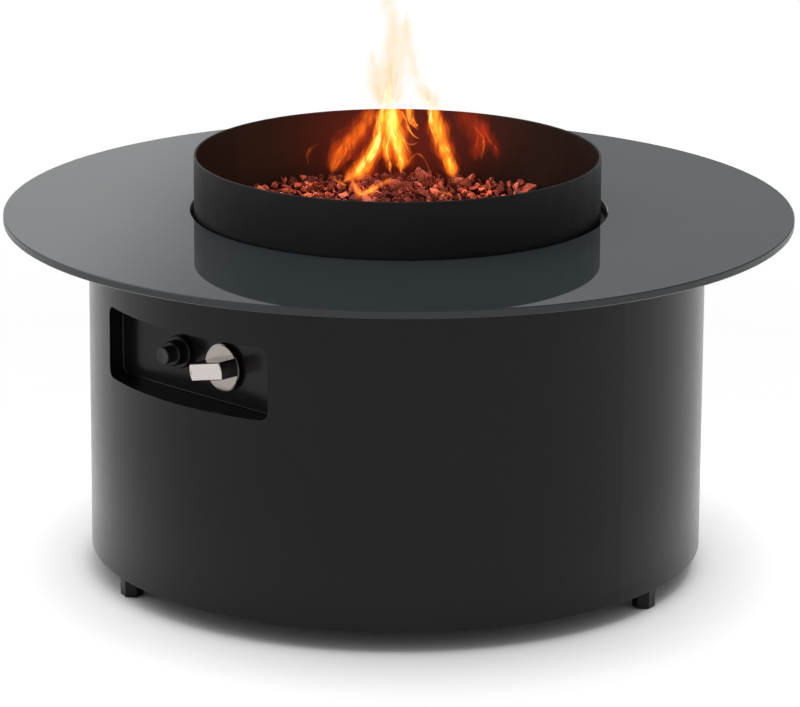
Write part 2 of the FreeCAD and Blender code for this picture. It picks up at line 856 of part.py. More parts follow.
def make_gas_valve():
    middle = knob_point(valve_front + valve_plate / 2)
    plate = centred_box(middle, valve_plate_width, valve_plate, valve_plate_height)
    plate = rounded_along(plate, BACK, valve_plate_corner)
    bonnet = cylinder(bonnet_diameter, -valve_front, knob_point(valve_front), OUT)
    block = centred_box(knob_point(valve_front - valve_length / 2), valve_width, valve_length, valve_height)
    block = rounded_along(block, BACK, valve_corner)
    rear = knob_point(valve_rear)
    upper = cylinder(thermo_boss_diameter, thermo_boss_length, rear + UP * valve_port_offset, BACK)
    lower = cylinder(outlet_boss_diameter, valve_port_length, rear + DOWN * valve_port_offset, BACK)
    inlet = hexagon(valve_inlet_flats, valve_port_length, inlet_port(), UP)
    valve = plate.fuse([bonnet, block, upper, lower, inlet])
    cavity = bonnet_diameter - 2 * bonnet_wall
    cuts = [cylinder(cavity, bonnet_depth + overcut, knob_point(-bonnet_depth), OUT)]
    guide_end = knob_point(-bonnet_depth - stem_tail_depth)
    cuts.append(cylinder(stem_tail_diameter + 2 * running_gap, stem_tail_depth + overcut, guide_end, OUT))
    stud_hole = tray_stud_diameter + 2 * valve_stud_gap
    for spot in valve_stud_points(0):
        cuts.append(cylinder(stud_hole, valve_stud_length + tray_sheet, spot, BACK))
    return valve.cut(cuts)


def make_valve_nuts():
    nuts = []
    for seat in valve_stud_points(valve_front):
        nuts.append(hex_nut(stud_nut_flats, stud_nut_height, tray_stud_diameter, seat, BACK))
    return nuts


def make_valve_cap():
    outer = bonnet_diameter - 2 * bonnet_wall
    return ring(outer, stem_diameter + 2 * running_gap, bonnet_cap, knob_point(-bonnet_cap), OUT)


def stem_key():
    length = stem_reach + overcut - stem_flat_start
    middle = knob_point(stem_flat_start + length / 2) + UP * (stem_flat + stem_diameter / 2)
    return centred_box(middle, 2 * stem_diameter, length, stem_diameter)


def make_valve_stem():
    back = shoulder_back - stem_collar_height
    shaft = cylinder(stem_diameter, stem_reach - back, knob_point(back), OUT)
    shoulder = cylinder(stem_shoulder_diameter, stem_shoulder, knob_point(shoulder_back), OUT)
    tail_end = knob_travel + guide_play - bonnet_depth - stem_tail_depth
    tail = cylinder(stem_tail_diameter, shoulder_front - tail_end, knob_point(tail_end), OUT)
    stem = shaft.fuse([shoulder, tail]).cut(stem_key())
    stem.rotate(knob_point(0), OUT, knob_rest_angle)
    return stem


def make_stem_collar():
    outer = bonnet_diameter - 2 * bonnet_wall - 2 * stem_collar_gap
    return ring(outer, stem_diameter + 2 * running_gap, stem_collar_height, knob_point(collar_back), OUT)


def make_stem_spring():
    margin = stem_spring_wire / 2 + spring_end_gap
    start = margin - bonnet_depth
    length = collar_back - margin - start
    return coil_spring(stem_spring_radius, stem_spring_wire, stem_spring_turns, knob_point(start), length)


def make_control_knob():
    back = knob_point(knob_gap)
    front = knob_point(knob_gap + knob_height)
    disc = cylinder(knob_diameter, knob_disc, back, OUT)
    lip = cylinder(knob_diameter + 2 * knob_lip, knob_disc / 2, back, OUT)
    bar = centred_box((back + front) / 2, knob_bar_width, knob_height, knob_diameter)
    grip = bevel(cylinder(knob_diameter, knob_height, back, OUT).common(bar), front, OUT, knob_bevel)
    knob = disc.fuse([lip, grip])
    socket = cylinder(stem_diameter, stem_reach, knob_point(0), OUT).cut(stem_key())
    pointer_spot = front + UP * (knob_diameter / 2 - pointer_inset)
    pointer = centred_box(pointer_spot, pointer_length, 2 * pointer_depth, pointer_width)
    knob = knob.cut([socket, pointer])
    knob.rotate(knob_point(0), OUT, knob_rest_angle)
    return knob


def make_igniter_body():
    flange = cylinder(bezel_diameter, bezel_depth, igniter_point(0), OUT)
    flange = bevel(flange, igniter_point(bezel_depth), OUT, bezel_bevel)
    barrel = cylinder(barrel_diameter, barrel_length, igniter_point(-barrel_length), OUT)
    terminal = cylinder(terminal_diameter, terminal_length, wire_port(), OUT)
    body = flange.fuse([barrel, terminal])
    socket = cap_thread_diameter + 2 * running_gap
    thread = cylinder(socket, cap_thread_length + overcut, igniter_point(thread_end), OUT)
    chamber = battery_diameter + 2 * battery_gap
    return body.cut([thread, cylinder(chamber, battery_length + 2 * battery_play, battery_base(), OUT)])


def battery_base():
    return igniter_point(battery_front - battery_length)


def make_igniter_locknut():
    return hex_nut(locknut_flats, locknut_height, barrel_diameter, igniter_point(-tray_sheet), BACK)


def make_battery():
    cell = cylinder(battery_diameter, battery_length - battery_tip, battery_base(), OUT)
    return cell.fuse(cylinder(battery_tip_diameter, battery_length, battery_base(), OUT))


def make_igniter_cap():
    collar = cylinder(cap_diameter, cap_depth, igniter_point(bezel_depth), OUT)
    collar = bevel(collar, igniter_point(cap_front), OUT, cap_bevel)
    thread = cylinder(cap_thread_diameter, cap_thread_length, igniter_point(thread_end), OUT)
    mouth = bore(button_diameter + 2 * running_gap, cap_front - thread_end, igniter_point(thread_end), OUT)
    pocket_diameter = button_diameter + 2 * button_lip + 2 * running_gap
    pocket_depth = lip_front + running_gap - thread_end + overcut
    pocket = cylinder(pocket_diameter, pocket_depth, igniter_point(thread_end - overcut), OUT)
    return collar.fuse(thread).cut([mouth, pocket])


def make_igniter_button():
    back = lip_front - button_lip_depth
    front = cap_front + button_reach
    plunger = cylinder(button_diameter, front - back, igniter_point(back), OUT)
    plunger = rounded(plunger, igniter_point(front), OUT, button_edge_radius)
    lip = cylinder(button_diameter + 2 * button_lip, button_lip_depth, igniter_point(back), OUT)
    ball = (button_dish_radius ** 2 + button_dish ** 2) / (2 * button_dish)
    return plunger.fuse(lip).cut(Part.makeSphere(ball, igniter_point(front - button_dish + ball)))


def make_igniter_spring():
    margin = igniter_spring_wire / 2 + spring_end_gap
    start = battery_front + margin
    length = lip_front - button_lip_depth - margin - start
    base = igniter_point(start)
    return coil_spring(igniter_spring_radius, igniter_spring_wire, igniter_spring_turns, base, length)


def make_foot(angle):
    spot = polar(foot_circle / 2, angle)
    seat = spot + UP * foot_stud_seat
    glide = bevel(hexagon(glide_flats, glide_height, spot, UP, angle), spot, UP, glide_bevel)
    glide = bevel(glide, spot + UP * glide_height, UP, glide_top_bevel)
    glide = glide.cut(cylinder(foot_stud_diameter, glide_height, seat))
    stud = cylinder(foot_stud_diameter, foot_stud_length, seat)
    return glide, bevel(stud, seat + UP * foot_stud_length, UP, foot_stud_bevel)


def make_foot_nuts():
    nuts = []
    for angle in foot_angles():
        seat = polar(foot_circle / 2, angle, ground_gap + ring_sheet)
        hole = foot_stud_diameter + 2 * running_gap
        nuts.append(hex_nut(foot_nut_flats, foot_nut_height, hole, seat, UP, angle))
    return nuts


def inlet_point(depth):
    return FreeCAD.Vector(0, drum_radius + depth, inlet_height)


def make_inlet():
    tip = inlet_hex_depth + inlet_thread_length
    tail = -drum_sheet - inlet_tail_length
    outside = cylinder(inlet_thread_diameter, inlet_thread_length, inlet_point(inlet_hex_depth), BACK)
    outside = bevel(outside, inlet_point(tip), BACK, inlet_thread_bevel)
    collar = hexagon(inlet_flats, inlet_hex_depth - inlet_seat_gap, inlet_point(inlet_seat_gap), BACK)
    inside = cylinder(inlet_thread_diameter, inlet_seat_gap - tail, inlet_point(tail), BACK)
    passage = bore(inlet_bore_diameter, tip - tail, inlet_point(tail), BACK)
    fitting = outside.fuse([collar, inside]).cut(passage)
    nut_seat = inlet_point(-drum_sheet - inlet_seat_gap)
    return fitting, hex_nut(inlet_flats, inlet_nut_height, inlet_thread_diameter, nut_seat, OUT)


def elbow_middle():
    return inlet_point(-drum_sheet - inlet_tail_length - elbow_block / 2)


def make_hose_elbow():
    block = centred_box(elbow_middle(), elbow_block, elbow_block, elbow_block)
    block = rounded_along(block, UP, elbow_corner)
    boss = cylinder(elbow_boss_diameter, elbow_boss_length, elbow_middle() + RIGHT * (elbow_block / 2), RIGHT)
    passages = [cylinder(inlet_bore_diameter, elbow_block, elbow_middle(), way) for way in (BACK, RIGHT)]
    return block.fuse(boss).cut(passages)


def inlet_port():
    middle = knob_point(valve_front - valve_length / 2)
    return middle + DOWN * (valve_height / 2 + valve_port_length)


def outlet_port():
    return knob_point(valve_rear - valve_port_length) + DOWN * valve_port_offset


def thermo_port():
    return knob_point(valve_rear - thermo_boss_length) + UP * valve_port_offset


def wire_port():
    return igniter_point(-barrel_length - terminal_length)


def jet_port():
    return polar(0, 0, jet_level) + OUT * (jet_block / 2 + jet_boss_length)


def hose_start():
    return elbow_middle() + RIGHT * (elbow_block / 2 + elbow_boss_length + hose_end_length)


def hose_finish():
    return inlet_port() + DOWN * hose_end_length


def hose_points():
    finish = hose_finish()
    points = [hose_start(), hose_start() + RIGHT * hose_first_run]
    for angle, drop in hose_route:
        points.append(polar(drum_inner - hose_lane, angle, inlet_height - drop))
    for aside, behind, rise in hose_climb:
        points.append(FreeCAD.Vector(finish.x + aside, finish.y + behind, inlet_height + rise))
    return points + [finish + DOWN * hose_last_run, finish]


def make_hose_ends():
    ends = []
    for tip, direction in ((hose_start(), RIGHT * -1), (hose_finish(), UP)):
        ferrule = cylinder(hose_diameter + 2 * ferrule_wall, ferrule_length, tip, direction)
        nut_base = tip + direction * ferrule_length
        nut = hexagon(hose_end_flats, hose_end_length - ferrule_length, nut_base, direction)
        ends.append(ferrule.fuse(nut))
    return ends


def make_hose_clip(near, far):
    middle = (near + far) / 2
    heading = (far - near).normalize()
    outward = FreeCAD.Vector(middle.x, middle.y, 0)
    reach = drum_inner - clip_tab_gap - outward.Length
    start = middle - heading * (clip_width / 2)
    band = ring(hose_diameter + 2 * clip_band, hose_diameter, clip_width, start, heading)
    low = FreeCAD.Vector(hose_diameter / 2 + clip_sink, -clip_width / 2, -clip_sheet / 2)
    arm = box(low, FreeCAD.Vector(reach - clip_sink, clip_width / 2, clip_sheet / 2))
    tab_low = FreeCAD.Vector(reach - clip_sheet, -clip_width / 2, -clip_sheet / 2)
    tab = box(tab_low, tab_low + FreeCAD.Vector(clip_sheet, clip_width, clip_tab))
    mount = arm.fuse(tab)
    mount.rotate(FreeCAD.Vector(0, 0, 0), UP, math.degrees(math.atan2(outward.y, outward.x)))
    mount.translate(middle)
    return band.fuse(mount)


def make_hose_clips():
    lane = hose_points()[2:2 + len(hose_route)]
    return [make_hose_clip(near, far) for near, far in zip(lane, lane[1:])]


def pipe_points():
    start = outlet_port() + BACK * pipe_nut_length
    finish = jet_port() + OUT * pipe_nut_length
    return [start, start + BACK * pipe_run, finish + OUT * pipe_run, finish]


def make_pipe_nuts():
    ends = ((outlet_port(), BACK), (jet_port(), OUT))
    return [hexagon(pipe_nut_flats, pipe_nut_length, port, direction) for port, direction in ends]


def lead_points(start, finish, run, rise):
    lower = finish + DOWN * rise
    middle = (start + lower) / 2 + OUT * slack_side
    middle.z = lower.z - slack_drop
    return [start, start + BACK * run, middle, lower, finish]


def thermo_points():
    finish = pilot_points()[1] + DOWN * thermo_drop
    return lead_points(thermo_port() + BACK * port_nut_height, finish, lead_run, lead_rise)


def wire_points():
    finish = pilot_points()[0] + DOWN * electrode_drop
    return lead_points(wire_port(), finish, wire_run, wire_rise)


def make_bumpers():
    pads = []
    for angle in around(bumper_count):
        spot = polar(bumper_circle / 2, angle, deck_top)
        pad = cylinder(bumper_diameter, bumper_height, spot)
        pads.append(rounded(pad, spot + UP * bumper_height, UP, bumper_edge_radius))
    return pads


def make_glass():
    spot = polar(glass_shift, glass_shift_angle, glass_under)
    plate = ring(glass_diameter, glass_hole_diameter, glass_thickness, spot)
    for level in (spot, spot + UP * glass_thickness):
        plate = bevel(plate, level, UP, glass_edge_bevel)
    return plate


def build_base():
    save("base_shell", make_base_shell())
    save("top_ring", make_top_ring())
    save("bottom_ring", make_bottom_ring())
    save("control_tray", make_control_tray())
    save("tray_nuts", *make_tray_nuts())
    save("foot_nuts", *make_foot_nuts())
    for name, angle in zip(foot_names, foot_angles()):
        glide, stud = make_foot(angle)
        save("foot_glide_" + name, glide)
        save("foot_stud_" + name, stud)


def build_top():
    save("deck_plate", make_deck_plate())
    stack = deck_sheet + ring_sheet
    screws, nuts = screws_and_nuts(deck_screw_circle, deck_screw_angles(), deck_top, stack)
    save("deck_screws", *screws)
    save("deck_nuts", *nuts)
    save("glass_bumpers", *make_bumpers())
    save("glass_top", make_glass())


def build_bowl():
    save("fire_bowl", make_fire_bowl())
    stack = bowl_flange_sheet + deck_sheet
    seat = deck_top + bowl_flange_sheet
    screws, nuts = screws_and_nuts(bowl_screw_circle, bowl_screw_angles(), seat, stack)
    save("bowl_screws", *screws)
    save("bowl_nuts", *nuts)
    save("heat_shield", make_heat_shield())
    spacers, shield_nuts = make_shield_fixings()
    save("shield_spacers", *spacers)
    save("shield_nuts", *shield_nuts)
    save("lava_rocks", make_lava_rocks())


def build_burner():
    save("burner_ring", make_burner_ring())
    save("burner_saddles", *make_burner_saddles())
    nut_seat = polar(0, 0, bowl_bottom)
    save("burner_nut", hex_nut(burner_nut_flats, burner_nut_height, burner_neck_diameter, nut_seat, DOWN))
    save("air_mixer", make_air_mixer())
    save("jet_elbow", make_jet_elbow())
    save("gas_jet", make_jet())
    save("pilot_hood", make_pilot_hood())
    save("pilot_bracket", make_pilot_bracket())
    insulator, rod = make_electrode()
    save("electrode_insulator", insulator)
    save("electrode_rod", rod)
    tip, nut, port_nut = make_thermocouple()
    save("thermocouple_tip", tip)
    save("thermocouple_nut", nut, port_nut)


def build_controls():
    save("gas_valve", make_gas_valve())
    save("valve_nuts", *make_valve_nuts())
    save("valve_cap", make_valve_cap())
    save("valve_stem", make_valve_stem())
    save("stem_collar", make_stem_collar())
    save("stem_spring", make_stem_spring())
    save("control_knob", make_control_knob())
    save("igniter_body", make_igniter_body())
    save("igniter_locknut", make_igniter_locknut())
    save("igniter_cap", make_igniter_cap())
    save("igniter_button", make_igniter_button())
    save("igniter_spring", make_igniter_spring())
    save("battery_cell", make_battery())


def build_gas_train():
    fitting, nut = make_inlet()
    save("inlet_fitting", fitting)
    save("inlet_nut", nut)
    save("hose_elbow", make_hose_elbow())
    save("hose_ends", *make_hose_ends())
    save("supply_hose", tube(hose_points(), hose_diameter, "supply_hose"))
    save("hose_clips", *make_hose_clips())
    save("burner_pipe", tube(pipe_points(), pipe_diameter, "burner_pipe"))
    save("pipe_nuts", *make_pipe_nuts())
    save("thermocouple_lead", tube(thermo_points(), lead_diameter, "thermocouple_lead"))
    save("ignition_wire", tube(wire_points(), wire_diameter, "ignition_wire"))


os.makedirs("parts", exist_ok=True)
build_base()
build_top()
build_bowl()
build_burner()
build_controls()
build_gas_train()
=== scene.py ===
import json
import math

import bmesh
import bpy
import numpy as np
from mathutils import Matrix, Vector


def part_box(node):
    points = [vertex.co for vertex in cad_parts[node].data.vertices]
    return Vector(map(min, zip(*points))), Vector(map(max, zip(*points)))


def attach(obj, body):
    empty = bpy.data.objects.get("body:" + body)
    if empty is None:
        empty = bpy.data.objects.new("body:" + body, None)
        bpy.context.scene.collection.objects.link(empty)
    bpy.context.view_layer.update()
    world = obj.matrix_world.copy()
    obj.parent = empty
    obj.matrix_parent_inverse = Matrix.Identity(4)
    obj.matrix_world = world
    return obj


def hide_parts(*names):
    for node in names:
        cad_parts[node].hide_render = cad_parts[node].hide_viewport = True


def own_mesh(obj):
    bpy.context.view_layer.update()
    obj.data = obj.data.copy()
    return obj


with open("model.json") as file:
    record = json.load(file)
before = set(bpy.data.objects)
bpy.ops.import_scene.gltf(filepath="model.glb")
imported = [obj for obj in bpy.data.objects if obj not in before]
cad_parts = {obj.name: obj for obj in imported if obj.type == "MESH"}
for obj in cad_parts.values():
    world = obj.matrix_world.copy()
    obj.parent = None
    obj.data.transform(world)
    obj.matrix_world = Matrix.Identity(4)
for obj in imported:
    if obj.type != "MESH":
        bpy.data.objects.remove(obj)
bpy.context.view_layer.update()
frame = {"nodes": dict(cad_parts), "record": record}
nodes = frame["nodes"]
slot_of = {part["node"]: part["material_slot"] for part in frame["record"]["subparts"]}

# Lengths are in metres and angles in degrees, except where a comment says otherwise.
mm_per_metre = 1000

# The photograph's camera, fitted in a frame that looks along +Y and then turned about the vertical axis.
# The sensor's width is in millimetres.
photo_width = 800
focal_pixels = 4937.77
sensor_width = 36.0
camera_distance = 5.1075
camera_elevation = 17.924
camera_yaw = 0.042
camera_pitch = 15.585
camera_roll = 0.327
camera_turn = 44.65
camera_sight = 200

# Floor
floor_size = 120.0
floor_albedo = 0.90
floor_roughness = 0.9
# distance from the middle of the glow, and how much the floor glows there: painted light, none at the table's
# foot, that lightens the shadow round it
FLOOR_GLOW = ((0.303, 0.0), (0.318, 0.19), (0.332, 0.255), (0.37, 0.285), (0.43, 0.31), (0.55, 0.20),
              (0.70, 0.09), (1.0, 0.06), (1.7, 0.08))
# how far right of the table's axis that middle lies, in millimetres
glow_shift = -4
# the share by which it glows more beside the table than before and behind it, and the curve of that
side_glow = 0.65
side_glow_power = 2.0

# World: how bright it is to what it lights, and to glossy surfaces before and after a soft change
ambient = 0.55
mirrored_before = 0.84
mirrored_after = 0.41
# the change lies where a mirrored direction's shares to the right and up add up to these numbers
MIRROR_CHANGE = (0.1745, 0.2234)

# Suns: azimuth from the front, elevation, width, strength, and whether glossy surfaces show it
SUNS = {"key": (-59.0, 48.0, 45.0, 0.5, True), "overhead": (130.0, 86.0, 40.0, 1.15, False)}

# Plain coats: dark and pale colour, range of roughness, noise scale and depth of the grain, and what else a
# coat has of its own
COATS = {
    "drum_paint": dict(dark=(0.0055, 0.0055, 0.0058), pale=(0.0075, 0.0075, 0.0077), rough=(0.20, 0.25),
                       grain=700, depth=0.000005, ior=1.285, wave=0.0003),
    "bowl_paint": dict(dark=(0.0045, 0.0040, 0.0040), pale=(0.0075, 0.0064, 0.0062), rough=(0.42, 0.55),
                       grain=1400, depth=0.00003, ior=1.35),
    "black_plastic": dict(dark=(0.005, 0.005, 0.005), pale=(0.009, 0.009, 0.009), rough=(0.26, 0.36),
                          grain=1600, depth=0.00004, ior=1.3),
    "grey_plastic": dict(dark=(0.007, 0.007, 0.0075), pale=(0.011, 0.011, 0.0115), rough=(0.30, 0.42),
                         grain=1600, depth=0.00004, ior=1.4),
    "black_rubber": dict(dark=(0.018, 0.018, 0.018), pale=(0.034, 0.034, 0.034), rough=(0.6, 0.8),
                         grain=900, depth=0.00008),
    "hose_rubber": dict(dark=(0.020, 0.020, 0.020), pale=(0.036, 0.035, 0.034), rough=(0.5, 0.68),
                        grain=500, depth=0.00008),
    "battery_sleeve": dict(dark=(0.028, 0.05, 0.075), pale=(0.04, 0.07, 0.10), rough=(0.3, 0.42),
                           grain=900, depth=0.00002),
    "wire_sleeve": dict(dark=(0.55, 0.53, 0.48), pale=(0.66, 0.64, 0.6), rough=(0.4, 0.55),
                        grain=900, depth=0.00003),
    "ceramic": dict(dark=(0.66, 0.62, 0.55), pale=(0.78, 0.75, 0.69), rough=(0.3, 0.5),
                    grain=800, depth=0.00005),
    "zinc_steel": dict(dark=(0.42, 0.43, 0.45), pale=(0.62, 0.63, 0.65), rough=(0.24, 0.42),
                       grain=900, depth=0.00003, metallic=1.0),
    "valve_alloy": dict(dark=(0.36, 0.36, 0.37), pale=(0.50, 0.50, 0.51), rough=(0.40, 0.58),
                        grain=700, depth=0.0001, metallic=1.0),
    "pipe_aluminium": dict(dark=(0.60, 0.60, 0.61), pale=(0.72, 0.72, 0.73), rough=(0.28, 0.40),
                           grain=800, depth=0.00003, metallic=1.0),
    "brass": dict(dark=(0.50, 0.36, 0.15), pale=(0.64, 0.48, 0.22), rough=(0.22, 0.36),
                  grain=800, depth=0.00003, metallic=1.0),
    "copper": dict(dark=(0.56, 0.25, 0.15), pale=(0.72, 0.36, 0.24), rough=(0.26, 0.4),
                   grain=800, depth=0.00003, metallic=1.0),
}

# Tinted glass: the two colours of its face, and the width, roughness and colour of its ground edge
GLASS_COLOURS = ((0.031, 0.038, 0.042), (0.034, 0.042, 0.047))
GLASS_POLISH = (0.012, 0.03)
glass_ior = 1.5
glass_sag = 0.00008
glass_edge = 0.0012
glass_edge_roughness = 0.35
glass_edge_colour = (0.012, 0.015, 0.017)

# Brushed metals: noise scale and depth of the lines, colours and roughness
# the noise scale along the lines, as a share of that across them
line_squeeze = 0.04
steel_lines = 900
steel_line_depth = 0.00002
STEEL_COLOURS = ((0.42, 0.41, 0.40), (0.58, 0.57, 0.56))
STEEL_ROUGHNESS = (0.26, 0.40)
knob_lines = 1500
knob_line_depth = 0.000004
KNOB_COLOURS = ((0.15, (0.33, 0.295, 0.27)), (0.35, (0.38, 0.335, 0.31)), (0.65, (0.56, 0.51, 0.485)),
                (0.85, (0.64, 0.58, 0.56)))
KNOB_ROUGHNESS = (0.12, 0.18)
# how far along those colours a line moves, and how far along them the front of the grip lies from the disc:
# painted shade that makes the disc darker and the grip paler towards its front
knob_line_gain = 0.5
knob_painted_shade_gain = 0.5

# Stone colours from the darkest stone to the palest, the darkening by the grain, and the painted shade in the
# gaps, darker lower down, which ends painted_shade_free_depth below the top of the highest stones
STONE_COLOURS = ((0.0, (0.045, 0.017, 0.015)), (0.45, (0.13, 0.039, 0.030)), (0.75, (0.24, 0.074, 0.058)),
                 (1.0, (0.36, 0.145, 0.12)))
STONE_SHADE = ((0.35, (0.25, 0.2, 0.2)), (0.6, (1, 1, 1)))
STONE_ROUGHNESS = (0.75, 0.98)
stone_ior = 1.4
stone_grain_depth = 0.0016
stone_pore_depth = 0.0012
# painted shade in the gaps between the stones
painted_gap_shade_colour = (0.012, 0.004, 0.004)
painted_shade_free_depth = 0.007

# Lava rock: the space that the stones keep to, and how far a stone keeps off the pilot hood, in its radii
rock_reach = 0.2025
rock_top = 0.3695
hood_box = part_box("pilot_hood")
hood_gap_share = 0.6
# the bed of gravel under them: its top, its underside over the burner, and the ring that it stands on
rock_bed_top = 0.3495
rock_hollow = 0.3345
rock_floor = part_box("lava_rocks")[0].z
foot_reach = 0.155
rock_bed_rings = 44
rock_bed_spokes = 180
# its lumps: waves in radians per metre, whose sum is divided by rock_bed_calm, and the height that 1 gives
rock_bed_waves = 26
ROCK_BED_FREQUENCY = (60, 420)
rock_bed_calm = 5
rock_bed_lump = 0.0024

# Stones by size: how many are tried, radii, distance as a share of two radii, level of the ball they are cut
# from, number of flat breaks, lumpiness and height of the middle
ROCK_SIZES = (
    (60, (0.0088, 0.0112), 0.80, 3, 13, 0.05, 0.3575),
    (120, (0.0066, 0.0090), 0.76, 3, 12, 0.05, 0.3575),
    (400, (0.0045, 0.0068), 0.66, 2, 9, 0.05, 0.3575),
    (1000, (0.0028, 0.0045), 0.54, 1, 8, 0.03, 0.3570),
)
rock_seed = 41
shapes_per_size = 10
tries_per_stone = 60
# in radii of the stone: how far out its breaks lie, how flat it may be, how far off its middle height it lies
BREAK_REACH = (0.32, 0.72)
STONE_FLATNESS = (0.55, 1.0)
STONE_LIFT = (-0.3, 0.35)
# waves on a stone's skin: radians per radius and share of the height, each in as many directions
STONE_LUMPS = ((3.0, 1.0), (6.5, 0.6), (13.0, 0.35))
lump_directions = 4

# Springs that a button or the knob presses: joint, wire thickness, turns
SPRINGS = {"stem_spring": ("knob_press", 0.0010, 4), "igniter_spring": ("igniter_press", 0.0008, 3)}
coil_steps = 40
wire_sides = 12

# The black filling of the notch in the knob: how far the knob stands turned, the thickness of its disc, the
# grip's reach, the filling's distance from the grip's end, its length and width, and its floor and top
knob_turned = 103.0
knob_disc = 0.0026
knob_reach = 0.0228
pointer_inset = 0.0026
pointer_size = (0.00296, 0.00076)
pointer_floor = 0.00028
pointer_top = 0.00005

# Flame: nested layers of each kind as (share of the width, thickness per metre, colour)
FIRE = {
    "core": ((1.7, 6.0, (1.8, 0.24, 0.015)), (1.25, 21.0, (2.2, 0.52, 0.03)),
             (0.85, 48.0, (2.5, 0.88, 0.09)), (0.45, 78.0, (2.6, 1.20, 0.24))),
    "flame": ((1.9, 3.5, (1.3, 0.12, 0.010)), (1.45, 12.5, (1.7, 0.26, 0.010)),
              (1.0, 32.0, (2.0, 0.49, 0.015)), (0.55, 50.0, (2.2, 0.80, 0.05))),
    "red": ((1.7, 4.0, (0.95, 0.07, 0.010)), (1.2, 8.0, (1.25, 0.15, 0.012)),
            (0.7, 15.0, (1.6, 0.34, 0.018))),
    "dim": ((1.7, 2.4, (0.8, 0.035, 0.010)), (1.2, 3.5, (1.0, 0.06, 0.010)),
            (0.7, 5.0, (1.2, 0.10, 0.012))),
    "pale": ((1.4, 9.0, (0.12, 0.075, 0.04)), (1.0, 22.0, (0.12, 0.075, 0.04)),
             (0.55, 40.0, (0.12, 0.075, 0.04))),
}
# How much red, green and blue of what lies behind it a flame hides
VEIL = {
    "core": (0.0, 0.45, 0.10),
    "flame": (0.0, 0.45, 0.12),
    "red": (0.1, 0.3, 0.6),
    "dim": (0.1, 0.3, 0.6),
    "pale": (0.13, 0.28, 0.58),
}
# Thin bright threads in each tongue: how many, thickness per metre, colour, sway in half widths
THREADS = {
    "core": (4, 260.0, (2.4, 1.1, 0.30), 0.9),
    "flame": (4, 260.0, (2.2, 0.75, 0.10), 0.8),
    "red": (2, 110.0, (1.8, 0.30, 0.03), 0.35),
    "dim": (2, 90.0, (1.6, 0.20, 0.02), 0.4),
    "pale": (2, 90.0, (0.12, 0.075, 0.04), 0.9),
}
